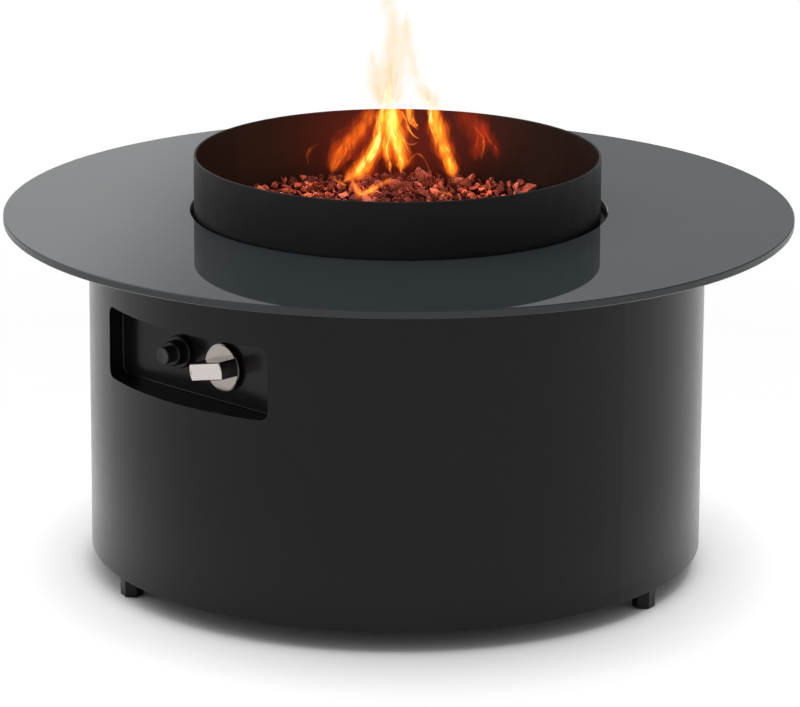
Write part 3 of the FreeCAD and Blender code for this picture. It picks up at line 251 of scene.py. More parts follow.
# Tongues of fire, in millimetres and seen from the photograph's side: how far towards the camera the foot and
# the tip lie, then (right, up, half width) along the tongue
TONGUES = {
    "core": (
        (-83, -12, ((-46, 380, 1.5), (-38, 393, 3.5), (-30, 405, 4), (-24, 419, 3.5), (-19, 436, 3.5),
         (-17, 451, 3), (-15, 466, 2.5), (-12, 481, 1.5), (-11, 498, 0.5))),
        (-86, -24, ((0, 391, 1), (2, 406, 2.5), (-3, 421, 3), (-6, 435, 4), (-6, 451, 5.5), (-6, 462, 5),
         (-8, 474, 3.5), (-9, 488, 2), (-10, 504, 0.5))),
        (-46, -27, ((4, 465, 2), (8, 453, 2), (12, 441, 1.5), (18, 433, 1), (23, 431, 0.5))),
        (-46, -36, ((-3, 442, 1.5), (3, 433, 1.5), (10, 426, 1), (16, 425, 1), (22, 429, 0.5))),
        (-70, -44, ((38, 428, 1.5), (35, 442, 2.5), (34, 454, 2.5), (32, 464, 2), (28, 473, 1))),
    ),
    "flame": (
        (-87, -12, ((-57, 375, 2.5), (-47, 383, 6.5), (-36, 392, 7.5), (-28, 407, 7), (-21, 423, 6),
         (-18, 442, 5), (-16, 459, 4.5), (-13, 476, 3), (-11, 498, 1))),
        (-114, -58, ((-7, 378, 1.5), (-10, 394, 3.5), (-12, 413, 4.5), (-11, 432, 4.5), (-11, 451, 4.5),
         (-10, 466, 2))),
        (-97, -31, ((3, 382, 2.5), (4, 397, 6.5), (1, 415, 8), (-3, 434, 9), (-5, 453, 8.5),
         (-7, 472, 5), (-8, 495, 1.5))),
        (-91, -65, ((21, 430, 1.5), (15, 439, 3), (12, 451, 3.5), (11, 463, 3.5), (12, 475, 1.5))),
        (-112, -44, ((57, 369, 2.5), (56, 385, 5.5), (51, 402, 6.5), (45, 419, 7), (41, 437, 7),
         (39, 452, 5.5), (35, 468, 3.5), (27, 486, 1))),
        (-81, -81, ((-72, 386, 0.5), (-66, 380, 1), (-57, 375, 1.5), (-50, 372, 1))),
        (-42, -42, ((-47, 390, 2), (-43, 381, 3), (-36, 374, 4), (-25, 379, 3.5), (-13, 386, 2.5),
         (-2, 393, 0.5))),
        (-110, -110, ((10, 385, 0.5), (14, 395, 1), (21, 400, 1), (28, 394, 1), (33, 383, 1),
         (35, 375, 0.5))),
        (-55, -55, ((35, 375, 1), (44, 373, 1.5), (53, 372, 1.5), (58, 377, 0.5))),
        (-105, -86, ((86, 395, 0.5), (88, 406, 1), (89, 417, 1), (88, 424, 0.5))),
    ),
    "red": (
        (-119, -62, ((-69, 375, 2.5), (-65, 388, 7), (-60, 401, 9), (-52, 413, 9.5), (-43, 425, 9),
         (-35, 437, 9), (-28, 450, 8), (-25, 462, 4))),
        (-109, -64, ((-67, 380, 1), (-61, 392, 2), (-55, 404, 2.5), (-52, 414, 2), (-46, 418, 2.5),
         (-36, 434, 2), (-28, 449, 1.5))),
        (-119, -96, ((-90, 382, 0.5), (-93, 393, 1.5), (-92, 403, 2), (-85, 411, 1.5), (-76, 415, 1))),
    ),
    "dim": (
        (-120, -83, ((79, 389, 2), (82, 402, 6), (85, 414, 8), (84, 425, 9), (77, 439, 9.5), (66, 445, 9),
         (55, 447, 5))),
        (-130, -95, ((104, 387, 1), (102, 402, 4), (95, 414, 5), (91, 426, 4.5), (85, 440, 2))),
    ),
    "pale": (
        (-36, -20, ((-9, 464, 6), (-9, 477, 11.5), (-7, 495, 13), (-6, 514, 12), (-5, 536, 9.5),
         (-5, 555, 7.5), (-7, 574, 5.5), (-8, 590, 2.5))),
        (-52, -32, ((-17, 459, 5), (-21, 478, 8), (-23, 497, 8.5), (-25, 511, 6.5), (-27, 530, 1))),
        (-58, -36, ((42, 456, 5), (37, 466, 7.5), (30, 473, 8), (21, 487, 6), (17, 501, 6.5), (12, 515, 7),
         (8, 534, 7), (8, 553, 5.5), (10, 566, 2))),
        (-16, -16, ((-18, 565, 1.5), (-15, 572, 4), (-11, 580, 5), (-7, 588, 4), (-6, 596, 1.5))),
    ),
}
fire_seed = 7
# a tongue's depth as a share of its width, path points per row, and sides of its tube
flame_squash = 0.7
flame_steps = 7
flame_sides = 20
# how steeply a tongue opens from its tips, how thin those start, the curve of that, and the least half width
tip_slope = 7
tip_start = 0.02
tip_power = 0.6
thinnest_flame = 0.0003
# uneven widths of layers and of threads, and the waves that make them, in radians from end to end, whose sum
# is divided by ragged_calm
layer_raggedness = 0.16
thread_raggedness = 0.3
ragged_waves = 3
RAGGED_FREQUENCY = (9, 40)
WAVE_START = (0, 6)
ragged_calm = 2
# a tongue with half widths under this many millimetres has neither the outermost layer nor threads
thin_tongue = 2.5
# where on a tongue a thread starts and how long it is, as shares of the tongue, its half width in
# millimetres, and the wave in its sway
THREAD_START = (0, 0.45)
THREAD_LENGTH = (0.35, 0.6)
THREAD_WIDTH = (0.45, 0.8)
SWAY_FREQUENCY = (2.5, 6)
sway_wave = 0.6
# wisps in the gas: noise scale, share of it along the height, the range of the noise that counts, the
# thickness at its two ends, and how long the steps are that Cycles takes through it
fire_grain = 150.0
wisp_stretch = 0.26
WISP_RANGE = (0.36, 0.66)
WISP_THICKNESS = (0.05, 2.3)
fire_step_rate = 0.2

# The red light in the air of the bowl: middle (right, towards the camera, up) and reach in millimetres
glow_spot = (0, -70, 425)
glow_reach = (150, 110, 80)
glow_ball_level = 4
glow_strength = 1.0
glow_colour = (1.0, 0.06, 0.025)

# The fire's light on stones and wall: right, towards the camera, up in millimetres, and watts
FIRE_LAMPS = ((-92, -98, 390, 0.36), (-38, -85, 404, 0.11), (4, -92, 406, 0.05), (52, -100, 396, 0.12),
              (0, -40, 460, 0.26), (86, -100, 390, 0.30))
fire_lamp_colour = (1.0, 0.38, 0.16)
fire_lamp_radius = 0.012


def place_camera():
    yaw, pitch = math.radians(camera_yaw), math.radians(camera_pitch)
    roll, rise = math.radians(camera_roll), math.radians(camera_elevation)
    ahead = Vector((math.sin(yaw) * math.cos(pitch), math.cos(yaw) * math.cos(pitch), -math.sin(pitch)))
    level = Vector((math.cos(yaw), -math.sin(yaw), 0))
    above = level.cross(ahead)
    right = level * math.cos(roll) + above * math.sin(roll)
    up = above * math.cos(roll) - level * math.sin(roll)
    pose = Matrix((right, up, -ahead)).transposed().to_4x4()
    pose.translation = Vector((0, -camera_distance * math.cos(rise), camera_distance * math.sin(rise)))
    data = bpy.data.cameras.new("camera")
    data.sensor_width = sensor_width
    data.lens = focal_pixels / photo_width * sensor_width
    data.clip_end = camera_sight
    camera = link_object("camera", data)
    camera.matrix_world = Matrix.Rotation(math.radians(camera_turn), 4, "Z") @ pose
    bpy.context.scene.camera = camera


def link_object(name, data):
    piece = bpy.data.objects.new(name, data)
    bpy.context.scene.collection.objects.link(piece)
    return piece


def seen_side(rows):
    """Rows of (right, towards the camera, up) in millimetres, seen from the photograph's side, as points."""
    rows = np.array(rows, float)
    turn = math.radians(camera_turn)
    right = np.array([math.cos(turn), math.sin(turn), 0])
    near = np.array([math.sin(turn), -math.cos(turn), 0])
    return (rows[:, :1] * right + rows[:, 1:2] * near + rows[:, 2:3] * (0, 0, 1)) / mm_per_metre


class Look:
    """One procedural material: a Principled shader and its texture nodes, in metres of the object's space."""

    def __init__(self, name):
        self.material = bpy.data.materials.new(name)
        self.material.use_nodes = True
        self.tree = self.material.node_tree
        self.shader = self.tree.nodes["Principled BSDF"]
        self.output = self.tree.nodes["Material Output"]
        self.place = self.tree.nodes.new("ShaderNodeTexCoord").outputs["Object"]

    def plug(self, value, socket):
        """Links the output of a node, or sets a number, a vector or a colour."""
        if hasattr(value, "is_linked"):
            self.tree.links.new(value, socket)
        elif socket.type == "RGBA":
            socket.default_value = (*value, 1)
        else:
            socket.default_value = value

    def node(self, kind, *values, **settings):
        """A new node with these settings, whose first sockets get the values."""
        made = self.tree.nodes.new(kind)
        for key, setting in settings.items():
            setattr(made, key, setting)
        for value, socket in zip(values, made.inputs):
            self.plug(value, socket)
        return made

    def named(self, node, **values):
        """Plugs values into the sockets of these names, with _ for a space."""
        for key, value in values.items():
            self.plug(value, node.inputs[key.replace("_", " ")])
        return node

    def set(self, **values):
        self.named(self.shader, **values)

    def noise(self, scale, detail=3.0, roughness=0.5, place=None, distortion=0.0):
        made = self.node("ShaderNodeTexNoise")
        self.named(made, Vector=place or self.place, Scale=scale, Detail=detail, Roughness=roughness,
                   Distortion=distortion)
        return made.outputs["Fac"]

    def cells(self, scale, smooth):
        made = self.node("ShaderNodeTexVoronoi", feature="SMOOTH_F1")
        self.named(made, Vector=self.place, Scale=scale, Smoothness=smooth)
        return made.outputs["Distance"]

    def vector(self, operation, *values):
        return self.node("ShaderNodeVectorMath", *values, operation=operation)

    def stretch(self, x, y, z):
        return self.vector("MULTIPLY", self.place, (x, y, z)).outputs["Vector"]

    def along(self, axis):
        return self.node("ShaderNodeSeparateXYZ", self.place).outputs[axis]

    def math(self, operation, *values, clamp=False):
        return self.node("ShaderNodeMath", *values, operation=operation, use_clamp=clamp).outputs["Value"]

    def weigh(self, first, second, share):
        """A mix of two numbers with this share of the first."""
        return self.math("ADD", self.math("MULTIPLY", first, share), self.math("MULTIPLY", second, 1 - share))

    def spread(self, value, low, high, start=0.3, end=0.7, smooth=False):
        """Goes from low to high as the value goes from start to end."""
        made = self.node("ShaderNodeMapRange", interpolation_type="SMOOTHSTEP" if smooth else "LINEAR")
        self.named(made, Value=value, From_Min=start, From_Max=end, To_Min=low, To_Max=high)
        return made.outputs["Result"]

    def ramp(self, value, *stops):
        made = self.node("ShaderNodeValToRGB", value)
        points = made.color_ramp.elements
        while len(points) < len(stops):
            points.new(0.5)
        for point, (position, colour) in zip(points, stops):
            point.position = position
            point.color = (*colour, 1)
        return made.outputs["Color"]

    def blend(self, factor, first, second, way="MIX"):
        """Goes from the first colour to the second one. The node has sockets for other kinds too."""
        made = self.node("ShaderNodeMix", data_type="RGBA", blend_type=way)
        colours = [socket for socket in made.inputs if socket.type == "RGBA"]
        for value, socket in zip((factor, first, second), (made.inputs["Factor"], *colours)):
            self.plug(value, socket)
        return next(socket for socket in made.outputs if socket.type == "RGBA")

    def bump(self, *layers):
        """layers are (height, distance in metres), the first one deepest in the chain."""
        normal = None
        for height, distance in layers:
            made = self.named(self.node("ShaderNodeBump"), Height=height, Distance=distance, Strength=1.0)
            if normal:
                self.plug(normal, made.inputs["Normal"])
            normal = made.outputs["Normal"]
        self.set(Normal=normal)

    def seen_rays(self):
        """1 where the camera sees a surface, straight, mirrored or through glass."""
        path = self.node("ShaderNodeLightPath").outputs
        seen = self.math("ADD", path["Is Camera Ray"], path["Is Glossy Ray"])
        return self.math("ADD", seen, path["Is Transmission Ray"], clamp=True)

    def fill(self, *shaders):
        """Makes the piece a volume of these shaders, without a surface."""
        self.tree.nodes.remove(self.shader)
        whole = shaders[0].outputs[0]
        for shader in shaders[1:]:
            whole = self.node("ShaderNodeAddShader", whole, shader.outputs[0]).outputs[0]
        self.plug(whole, self.output.inputs["Volume"])


class WorldLook(Look):
    """The nodes of a world, with the direction of a ray as the place."""

    def __init__(self, world):
        self.tree = world.node_tree
        self.place = self.tree.nodes.new("ShaderNodeTexCoord").outputs["Generated"]


def coat(name, dark, pale, rough, grain, depth, metallic=0.0, ior=1.45, wave=0.0):
    """Paint, plastic, rubber or plain metal: patchy colour, uneven roughness and a fine grain."""
    look = Look(name)
    patch = look.noise(scale=14, detail=4, roughness=0.55)
    fine = look.noise(scale=grain, detail=2)
    colour = look.ramp(look.weigh(patch, fine, share=0.7), (0.32, dark), (0.68, pale))
    look.set(Base_Color=colour, Metallic=metallic, IOR=ior,
             Roughness=look.spread(look.noise(scale=60, roughness=0.6), *rough))
    layers = [(fine, depth)]
    if wave:
        layers.insert(0, (look.noise(scale=5, detail=1, roughness=0.4), wave))
    look.bump(*layers)
    return look.material


def stainless_steel():
    """Metal with fine lines along X."""
    look = Look("stainless_steel")
    streak = look.noise(scale=steel_lines, roughness=0.6, place=look.stretch(line_squeeze, 1, 1))
    dark, pale = STEEL_COLOURS
    colour = look.ramp(look.weigh(look.noise(scale=40), streak, share=0.5), (0.35, dark), (0.65, pale))
    look.set(Base_Color=colour, Metallic=1.0, Roughness=look.spread(streak, *STEEL_ROUGHNESS))
    look.bump((streak, steel_line_depth))
    return look.material


def satin_knob():
    """A turned disc, darker by painted shade, and a grip with fine lines along it, paler towards its front.
    """
    look = Look("satin_knob")
    low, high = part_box("control_knob")
    # painted shade: paler towards the front of the grip, darker at the disc
    grip = look.spread(look.along("Y"), knob_painted_shade_gain, 0.0, low.y, high.y - knob_disc)
    streak = look.noise(scale=knob_lines, roughness=0.6, place=look.stretch(line_squeeze, 1, 1))
    shade = look.math("ADD", look.math("MULTIPLY", streak, knob_line_gain), grip)
    look.set(Base_Color=look.ramp(shade, *KNOB_COLOURS), Metallic=1.0,
             Roughness=look.spread(streak, *KNOB_ROUGHNESS))
    look.bump((streak, knob_line_depth))
    return look.material


def smoked_glass():
    """A polished face, and a ground edge where the disc ends."""
    look = Look("smoked_glass")
    low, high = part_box("glass_top")
    middle = (low + high) / 2
    radius = (high.x - low.x) / 2
    flat = look.vector("MULTIPLY_ADD", look.place, (1, 1, 0), (-middle.x, -middle.y, 0)).outputs["Vector"]
    reach = look.vector("LENGTH", flat).outputs["Value"]
    edge = look.spread(reach, 0.0, 1.0, radius - glass_edge, radius - glass_edge / 2)
    dark, pale = GLASS_COLOURS
    face = look.ramp(look.noise(scale=9), (0.3, dark), (0.7, pale))
    polish = look.spread(look.noise(scale=30, detail=4, roughness=0.6), *GLASS_POLISH)
    look.set(Base_Color=look.blend(edge, face, glass_edge_colour), IOR=glass_ior,
             Roughness=look.math("MAXIMUM", polish, look.math("MULTIPLY", edge, glass_edge_roughness)))
    look.bump((look.noise(scale=3, detail=1, roughness=0.4), glass_sag))
    return look.material


def lava_rock():
    """Porous stones that differ in colour, with painted shade in the gaps between them."""
    look = Look("lava_rock")
    stone = look.ramp(look.node("ShaderNodeNewGeometry").outputs["Random Per Island"], *STONE_COLOURS)
    grain = look.noise(scale=260, detail=5, roughness=0.65)
    pores = look.cells(scale=420, smooth=0.4)
    shaded = look.blend(1.0, stone, look.ramp(grain, *STONE_SHADE), way="MULTIPLY")
    # painted shade: the stones grow darker towards the bed, below their tops
    unshaded_share = look.spread(look.along("Z"), 0.0, 1.0, rock_bed_top, rock_top - painted_shade_free_depth)
    look.set(Base_Color=look.blend(unshaded_share, painted_gap_shade_colour, shaded), IOR=stone_ior,
             Roughness=look.spread(grain, *STONE_ROUGHNESS))
    look.bump((grain, stone_grain_depth), (pores, stone_pore_depth))
    return look.material


def dress_nodes():
    makers = {"stainless_steel": stainless_steel, "satin_knob": satin_knob, "smoked_glass": smoked_glass,
              "lava_rock": lava_rock}
    made = {}
    for name, piece in nodes.items():
        slot = slot_of[name]
        if slot not in made:
            made[slot] = makers[slot]() if slot in makers else coat(slot, **COATS[slot])
        for holder in piece.material_slots:
            holder.material = made[slot]
    return made


def mesh_from(name, points, faces, smooth=True):
    mesh = bpy.data.meshes.new(name)
    mesh.from_pydata([tuple(p) for p in points], [], [tuple(int(c) for c in f) for f in faces])
    mesh.polygons.foreach_set("use_smooth", [smooth] * len(mesh.polygons))
    mesh.validate()
    mesh.update()
    return mesh


def unit_ball(level):
    shape = bmesh.new()
    bmesh.ops.create_icosphere(shape, subdivisions=level, radius=1.0)
    shape.verts.ensure_lookup_table()
    points = np.array([v.co[:] for v in shape.verts])
    faces = np.array([[v.index for v in f.verts] for f in shape.faces])
    shape.free()
    return points, faces


def random_directions(rng, count):
    found = rng.normal(size=(count, 3))
    return found / np.linalg.norm(found, axis=1)[:, None]


def random_turn(rng):
    """A matrix that turns evenly at random, from a unit quaternion."""
    q = rng.normal(size=4)
    w, x, y, z = q / np.linalg.norm(q)
    return np.array([[1 - 2 * (y * y + z * z), 2 * (x * y - z * w), 2 * (x * z + y * w)],
                     [2 * (x * y + z * w), 1 - 2 * (x * x + z * z), 2 * (y * z - x * w)],
                     [2 * (x * z - y * w), 2 * (y * z + x * w), 1 - 2 * (x * x + y * y)]])


def random_phase(rng, *count):
    return rng.uniform(0, 2 * math.pi, *count)


def broken_stone(rng, level, cuts, rough):
    """A ball with flat breaks, squeezed unevenly, with a lumpy skin, that reaches 1 from its middle."""
    points, faces = unit_ball(level)
    for direction, reach in zip(random_directions(rng, cuts), rng.uniform(*BREAK_REACH, cuts)):
        over = np.clip(points @ direction - reach, 0, None)
        points = points - over[:, None] * direction
    lumps = np.zeros(len(points))
    for frequency, height in STONE_LUMPS:
        directions = random_directions(rng, lump_directions)
        for direction, phase in zip(directions, random_phase(rng, lump_directions)):
            lumps += height * np.sin(frequency * (points @ direction) + phase)
    points = points * (1 + rough * lumps[:, None] / lump_directions)
    points *= rng.uniform(*STONE_FLATNESS, 3)
    return points / np.abs(points).max(), faces


def scatter(rng, placed, wanted, radii, share):
    """Adds spots (x, y, radius) that keep share of two radii apart, in the bowl and off the pilot hood."""
    low, high = hood_box
    middle, half = (low + high) / 2, (high - low) / 2
    for _ in range(wanted):
        radius = rng.uniform(*radii)
        for _ in range(tries_per_stone):
            reach = (rock_reach - radius) * math.sqrt(rng.uniform())
            turn = random_phase(rng)
            x, y = reach * math.cos(turn), reach * math.sin(turn)
            if max(abs(x - middle.x) - half.x, abs(y - middle.y) - half.y) < radius * hood_gap_share:
                continue
            if not any(math.hypot(x - a, y - b) < share * (radius + r) for a, b, r in placed):
                placed.append((x, y, radius))
                break


def make_rocks():
    rng = np.random.default_rng(rock_seed)
    points, faces, start = [], [], 0
    placed = []
    for wanted, radii, share, level, cuts, rough, height in ROCK_SIZES:
        before = len(placed)
        scatter(rng, placed, wanted, radii, share)
        shapes = [broken_stone(rng, level, cuts, rough) for _ in range(shapes_per_size)]
        for x, y, radius in placed[before:]:
            shape, corners = shapes[rng.integers(len(shapes))]
            body = radius * (shape @ random_turn(rng).T)
            middle = height + rng.uniform(*STONE_LIFT) * radius
            points.append(body + (x, y, min(middle, rock_top - body[:, 2].max())))
            faces.append(corners + start)
            start += len(body)
    mesh = mesh_from("lava_stones", np.concatenate(points), np.concatenate(faces), smooth=False)
    stones = link_object("lava_stones", mesh)
    bed = link_object("lava_bed", mesh_from("lava_bed", *rock_bed(rng)))
    for piece in (stones, bed):
        piece.data.materials.append(looks["lava_rock"])
        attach(piece, "root")
    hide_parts("lava_rocks")
    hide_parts("lava_rocks")


def rock_bed(rng):
    """The gravel between the stones: a closed lumpy disc with a foot that stands on the bowl's floor."""
    waves = [(rng.uniform(*ROCK_BED_FREQUENCY), random_phase(rng), random_phase(rng))
             for _ in range(rock_bed_waves)]

    def lumpy(x, y):
        lump = sum(math.sin(frequency * (x * math.cos(turn) + y * math.sin(turn)) + phase)
                   for frequency, turn, phase in waves)
        return rock_bed_top + rock_bed_lump * lump / rock_bed_calm

    profile = [(reach, None) for reach in np.linspace(0, rock_reach, rock_bed_rings + 1)[1:]]
    profile += [(rock_reach, rock_floor), (foot_reach, rock_floor), (foot_reach, rock_hollow)]
    points = [(0, 0, rock_bed_top)]
    for reach, height in profile:
        for k in range(rock_bed_spokes):
            turn = 2 * math.pi * k / rock_bed_spokes
            x, y = reach * math.cos(turn), reach * math.sin(turn)
            points.append((x, y, lumpy(x, y) if height is None else height))
    points.append((0, 0, rock_hollow))
    last = len(points) - 1
    faces = []
    for k in range(rock_bed_spokes):
        after = (k + 1) % rock_bed_spokes
        faces.append((0, 1 + k, 1 + after))
        for j in range(len(profile) - 1):
            a, b = 1 + j * rock_bed_spokes, 1 + (j + 1) * rock_bed_spokes
            faces.append((a + k, b + k, b + after))
            faces.append((a + k, b + after, a + after))
        a = 1 + (len(profile) - 1) * rock_bed_spokes
        faces.append((a + k, last, a + after))
    return points, faces


def make_springs():
    """Coils in the place of the solid springs, with the end by the fixed part held still."""
    for node, (joint, wire, turns) in SPRINGS.items():
        low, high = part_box(node)
        middle = (low + high) / 2
        radius = (high.x - low.x - wire) / 2
        name = node + "_coil"
        spring = link_object(name, coil_mesh(name, radius, high.y - low.y - wire, wire, turns))
        spring.data.transform(Matrix.Translation((middle.x, high.y - wire / 2, middle.z)))
        spring.data.materials.append(looks["stainless_steel"])
        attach(spring, "root")
        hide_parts(node)
        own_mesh(spring)


def coil_mesh(name, radius, length, wire, turns):
    """A wire wound about the Y axis, from the origin towards -Y, with closed ends."""
    rings = turns * coil_steps + 1
    points, faces = [], []
    for k in range(rings):
        turn = 2 * math.pi * k / coil_steps
        out = np.array([math.cos(turn), 0, math.sin(turn)])
        centre = radius * out - (0, length * k / (rings - 1), 0)
        along = np.array([-math.sin(turn) * radius, -length / (2 * math.pi * turns), math.cos(turn) * radius])
        across = np.cross(along / np.linalg.norm(along), out)
        for j in range(wire_sides):
            a = 2 * math.pi * j / wire_sides
            points.append(centre + wire / 2 * (math.cos(a) * out + math.sin(a) * across))
    for j in range(wire_sides):
        m = (j + 1) % wire_sides
        for k in range(rings - 1):
            a, b = k * wire_sides, (k + 1) * wire_sides
            faces.append((a + j, a + m, b + m))
            faces.append((a + j, b + m, b + j))
    for k, order in ((0, -1), (rings - 1, 1)):
        centre = len(points)
        points.append(np.mean(points[k * wire_sides:(k + 1) * wire_sides], axis=0))
        for j in range(wire_sides):
            m = (j + 1) % wire_sides
            faces.append((centre, k * wire_sides + j, k * wire_sides + m)[::order])
    return mesh_from(name, points, faces)


def make_pointer():
    """The black filling of the notch that is cut across the knob's grip near its end."""
    low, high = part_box("control_knob")
    middle_x, middle_z = (low.x + high.x) / 2, (low.z + high.z) / 2
    turn = math.radians(knob_turned)
    length, width = pointer_size
    reach = knob_reach - pointer_inset
    corners = []
    for depth in (low.y + pointer_floor, low.y + pointer_top):
        for side, end in ((-1, -1), (1, -1), (1, 1), (-1, 1)):
            across, along = side * length / 2, reach + end * width / 2
            corners.append((middle_x + across * math.cos(turn) - along * math.sin(turn), depth,
                            middle_z + across * math.sin(turn) + along * math.cos(turn)))
    sides = [(k, k + 4, (k + 1) % 4 + 4, (k + 1) % 4) for k in range(4)]
    mesh = mesh_from("knob_pointer", corners, sides + [(0, 1, 2, 3), (7, 6, 5, 4)], smooth=False)
    fill = link_object("knob_pointer", mesh)
    fill.data.materials.append(looks["black_plastic"])
    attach(fill, "knob")


def smooth_path(points, steps):
    """Catmull-Rom through rows of numbers."""
    rows = np.array(points, float)
    rows = np.vstack([2 * rows[0] - rows[1], rows, 2 * rows[-1] - rows[-2]])
    out = []
    for k in range(1, len(rows) - 2):
        a, b, c, d = rows[k - 1:k + 3]
        for t in np.arange(steps) / steps:
            out.append(0.5 * (2 * b + (c - a) * t + (2 * a - 5 * b + 4 * c - d) * t ** 2
                              + (3 * b - a - 3 * c + d) * t ** 3))
    out.append(rows[-2])
    return np.array(out)


def tongue_path(base, top, rows):
    """Rows of (right, towards the camera, up, half width) along a tongue that leans from base to top."""
    rows = np.array(rows, float)
    height = rows[:, 1] - rows[:, 1].min()
    near = base + (top - base) * height / height.max()
    return smooth_path(np.column_stack([rows[:, 0], near, rows[:, 1:]]), flame_steps)


def tongue_mesh(rng, name, path, share, ragged):
    """A closed lens-shaped tube round the path, pointed at both ends, with an uneven width."""
    near = seen_side([(0, mm_per_metre, 0)])[0]
    spots = seen_side(path)
    done = np.linspace(0, 1, len(path))
    ends = np.clip(np.minimum(done, 1 - done) * tip_slope, tip_start, 1) ** tip_power
    waves = [np.sin(done * rng.uniform(*RAGGED_FREQUENCY) + rng.uniform(*WAVE_START))
             for _ in range(ragged_waves)]
    widths = np.clip(path[:, 3] / mm_per_metre, thinnest_flame, None) * share * ends
    widths = widths * (1 + ragged * sum(waves) / ragged_calm)
    points, faces = [], []
    for k, spot in enumerate(spots):
        along = spots[min(k + 1, len(spots) - 1)] - spots[max(k - 1, 0)]
        side = np.cross(along, near)
        side /= np.linalg.norm(side)
        deep = np.cross(side, along)
        deep /= np.linalg.norm(deep)
        for j in range(flame_sides):
            a = 2 * math.pi * j / flame_sides
            points.append(spot + widths[k] * (math.cos(a) * side + flame_squash * math.sin(a) * deep))
    rings = len(spots)
    points += [spots[0], spots[-1]]
    first, last = rings * flame_sides, rings * flame_sides + 1
    for j in range(flame_sides):
        m = (j + 1) % flame_sides
        faces.append((first, j, m))
        faces.append((last, (rings - 1) * flame_sides + m, (rings - 1) * flame_sides + j))
        for k in range(rings - 1):
            a, b = k * flame_sides, (k + 1) * flame_sides
            faces.append((a + j, b + m, a + m))
            faces.append((a + j, b + j, b + m))
    return mesh_from(name, points, faces)


def thread_path(rng, path, reach):
    """A thin wandering part of a tongue."""
    start = rng.uniform(*THREAD_START)
    end = min(1.0, start + rng.uniform(*THREAD_LENGTH))
    part = path[int(start * (len(path) - 1)):int(end * (len(path) - 1)) + 1].copy()
    done = np.linspace(0, 1, len(part))
    for axis in (0, 1):
        lean = rng.uniform(-1, 1)
        wave = np.sin(done * rng.uniform(*SWAY_FREQUENCY) + rng.uniform(*WAVE_START))
        part[:, axis] += reach * (lean + sway_wave * wave) * part[:, 3]
    part[:, 3] = rng.uniform(*THREAD_WIDTH)
    return part


def fire_look(name, thickness, colour, hidden):
    """Glowing gas, which hides a part of what is behind it where it glows."""
    look = Look(name)
    wisps = look.noise(scale=1.0, detail=4, roughness=0.62, distortion=0.9,
                       place=look.stretch(fire_grain, fire_grain, fire_grain * wisp_stretch))
    amount = look.math("MULTIPLY", look.spread(wisps, *WISP_THICKNESS, *WISP_RANGE), thickness)
    glow = look.node("ShaderNodeEmission", colour, amount)
    veil = look.node("ShaderNodeVolumeAbsorption", [1 - share for share in hidden], amount)
    look.fill(glow, veil)
    look.material.cycles.volume_step_rate = fire_step_rate
    return look.material


def make_fire():
    """The burning gas of the photograph. It is no part of the table, so it casts no shadow and diffuse rays
    don't see it.
    """
    rng = np.random.default_rng(fire_seed)
    for kind, tongues in TONGUES.items():
        layers = [fire_look(f"fire_{kind}_{k}", *layer[1:], VEIL[kind]) for k, layer in enumerate(FIRE[kind])]
        wanted, thickness, colour, sway = THREADS[kind]
        thread = fire_look(f"fire_{kind}_thread", thickness, colour, VEIL[kind])
        for row, tongue in enumerate(tongues):
            path = tongue_path(*tongue)
            thin = path[:, 3].max() < thin_tongue
            for k, (layer, material) in enumerate(zip(FIRE[kind], layers)):
                if not (thin and k == 0):
                    name = f"fire_{kind}_{row}_{k}"
                    mesh = tongue_mesh(rng, name, path, layer[0], layer_raggedness)
                    stage_fire(link_object(name, mesh), material)
            for k in range(0 if thin else wanted):
                name = f"fire_{kind}_{row}_thread_{k}"
                mesh = tongue_mesh(rng, name, thread_path(rng, path, sway), 1.0, thread_raggedness)
                stage_fire(link_object(name, mesh), thread)
    make_glow()
    make_fire_lamps()


def make_glow():
    """The red light in the air of the bowl, strongest in the middle."""
    body = link_object("fire_glow", mesh_from("fire_glow", *unit_ball(glow_ball_level)))
    size = Matrix.Diagonal((*[reach / mm_per_metre for reach in glow_reach], 1))
    spot = Matrix.Translation(Vector(seen_side([glow_spot])[0]))
    body.matrix_world = spot @ Matrix.Rotation(math.radians(camera_turn), 4, "Z") @ size
    look = Look("fire_glow")
    away = look.vector("LENGTH", look.place).outputs["Value"]
    strength = look.spread(away, glow_strength, 0.0, 0.0, 1.0, smooth=True)
    look.fill(look.node("ShaderNodeEmission", glow_colour, strength))
    stage_fire(body, look.material)


def stage_fire(piece, material):
    piece.data.materials.append(material)
    piece.visible_shadow = False
    piece.visible_diffuse = False


def make_fire_lamps():
    for *spot, watts in FIRE_LAMPS:
        data = bpy.data.lights.new("fire_lamp", "POINT")
        data.energy = watts
        data.color = fire_lamp_colour
        data.shadow_soft_size = fire_lamp_radius
        lamp = link_object("fire_lamp", data)
        lamp.location = Vector(seen_side([spot])[0])
        lamp.visible_glossy = False


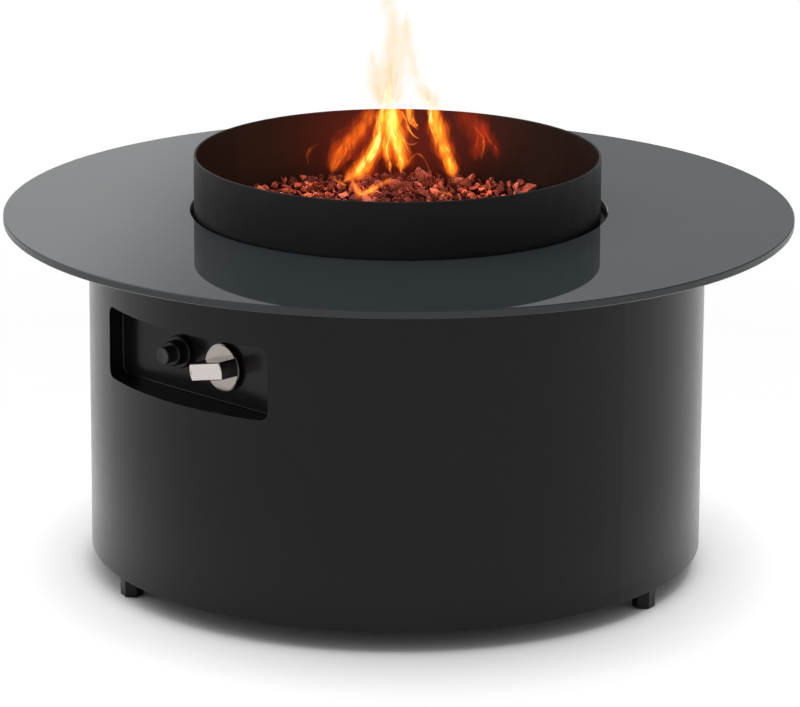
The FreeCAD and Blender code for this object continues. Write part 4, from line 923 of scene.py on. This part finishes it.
def make_floor():
    """A pale floor that takes the table's shadow, and glows to the camera, in a ring of painted light round
    the table that lightens its shadow, so that it fades into white.
    """
    half = floor_size / 2
    mesh = mesh_from("floor", [(-half, -half, 0), (half, -half, 0), (half, half, 0), (-half, half, 0)],
                     [(0, 1, 2, 3)], smooth=False)
    floor = link_object("floor", mesh)
    look = Look("floor")
    look.set(Base_Color=(floor_albedo, floor_albedo, floor_albedo), Roughness=floor_roughness,
             Specular_IOR_Level=0.0)
    middle = seen_side([(glow_shift, 0, 0)])[0]
    right = seen_side([(mm_per_metre, 0, 0)])[0]
    away = look.vector("DISTANCE", look.place, middle).outputs["Value"]
    aside = look.vector("DOT_PRODUCT", look.place, right).outputs["Value"]
    reach = FLOOR_GLOW[-1][0]
    shine = look.ramp(look.math("DIVIDE", away, reach),
                      *[(distance / reach, (share, share, share)) for distance, share in FLOOR_GLOW])
    sideways = look.math("POWER", look.math("ABSOLUTE", look.math("DIVIDE", aside, away)), side_glow_power)
    more = look.math("ADD", look.math("MULTIPLY", sideways, side_glow), 1.0)
    glow = look.node("ShaderNodeEmission", shine, look.math("MULTIPLY", look.seen_rays(), more))
    total = look.node("ShaderNodeAddShader", look.shader.outputs[0], glow.outputs[0])
    look.plug(total.outputs[0], look.output.inputs["Surface"])
    mesh.materials.append(look.material)


def make_world():
    """White to the camera and through glass, and dimmer to what it lights and to glossy surfaces."""
    world = bpy.data.worlds.new("studio")
    bpy.context.scene.world = world
    world.use_nodes = True
    look = WorldLook(world)
    path = look.node("ShaderNodeLightPath").outputs
    turn = math.radians(camera_turn)
    side = look.vector("DOT_PRODUCT", look.place, (math.cos(turn), math.sin(turn), 1)).outputs["Value"]
    gloss = look.spread(side, mirrored_before, mirrored_after, *MIRROR_CHANGE, smooth=True)
    mirrored = look.math("MULTIPLY", path["Is Glossy Ray"], look.math("SUBTRACT", gloss, ambient))
    plain = look.math("ADD", path["Is Camera Ray"], path["Is Transmission Ray"], clamp=True)
    shown = look.math("MULTIPLY", plain, 1 - ambient)
    strength = look.math("ADD", look.math("ADD", mirrored, shown), ambient)
    look.named(look.tree.nodes["Background"], Color=(1, 1, 1), Strength=strength)


def make_suns():
    for name, (azimuth, elevation, width, strength, mirrored) in SUNS.items():
        data = bpy.data.lights.new(name, "SUN")
        data.energy = strength
        data.angle = math.radians(width)
        lamp = link_object(name, data)
        lamp.visible_glossy = mirrored
        turn, rise = math.radians(azimuth), math.radians(elevation)
        toward = Vector((math.sin(turn) * math.cos(rise), -math.cos(turn) * math.cos(rise), math.sin(rise)))
        lamp.rotation_mode = "QUATERNION"
        lamp.rotation_quaternion = toward.to_track_quat("Z", "Y")


bpy.context.scene.view_settings.view_transform = "Standard"
place_camera()
make_world()
make_suns()
make_floor()
looks = dress_nodes()
make_rocks()
make_springs()
make_pointer()
make_fire()
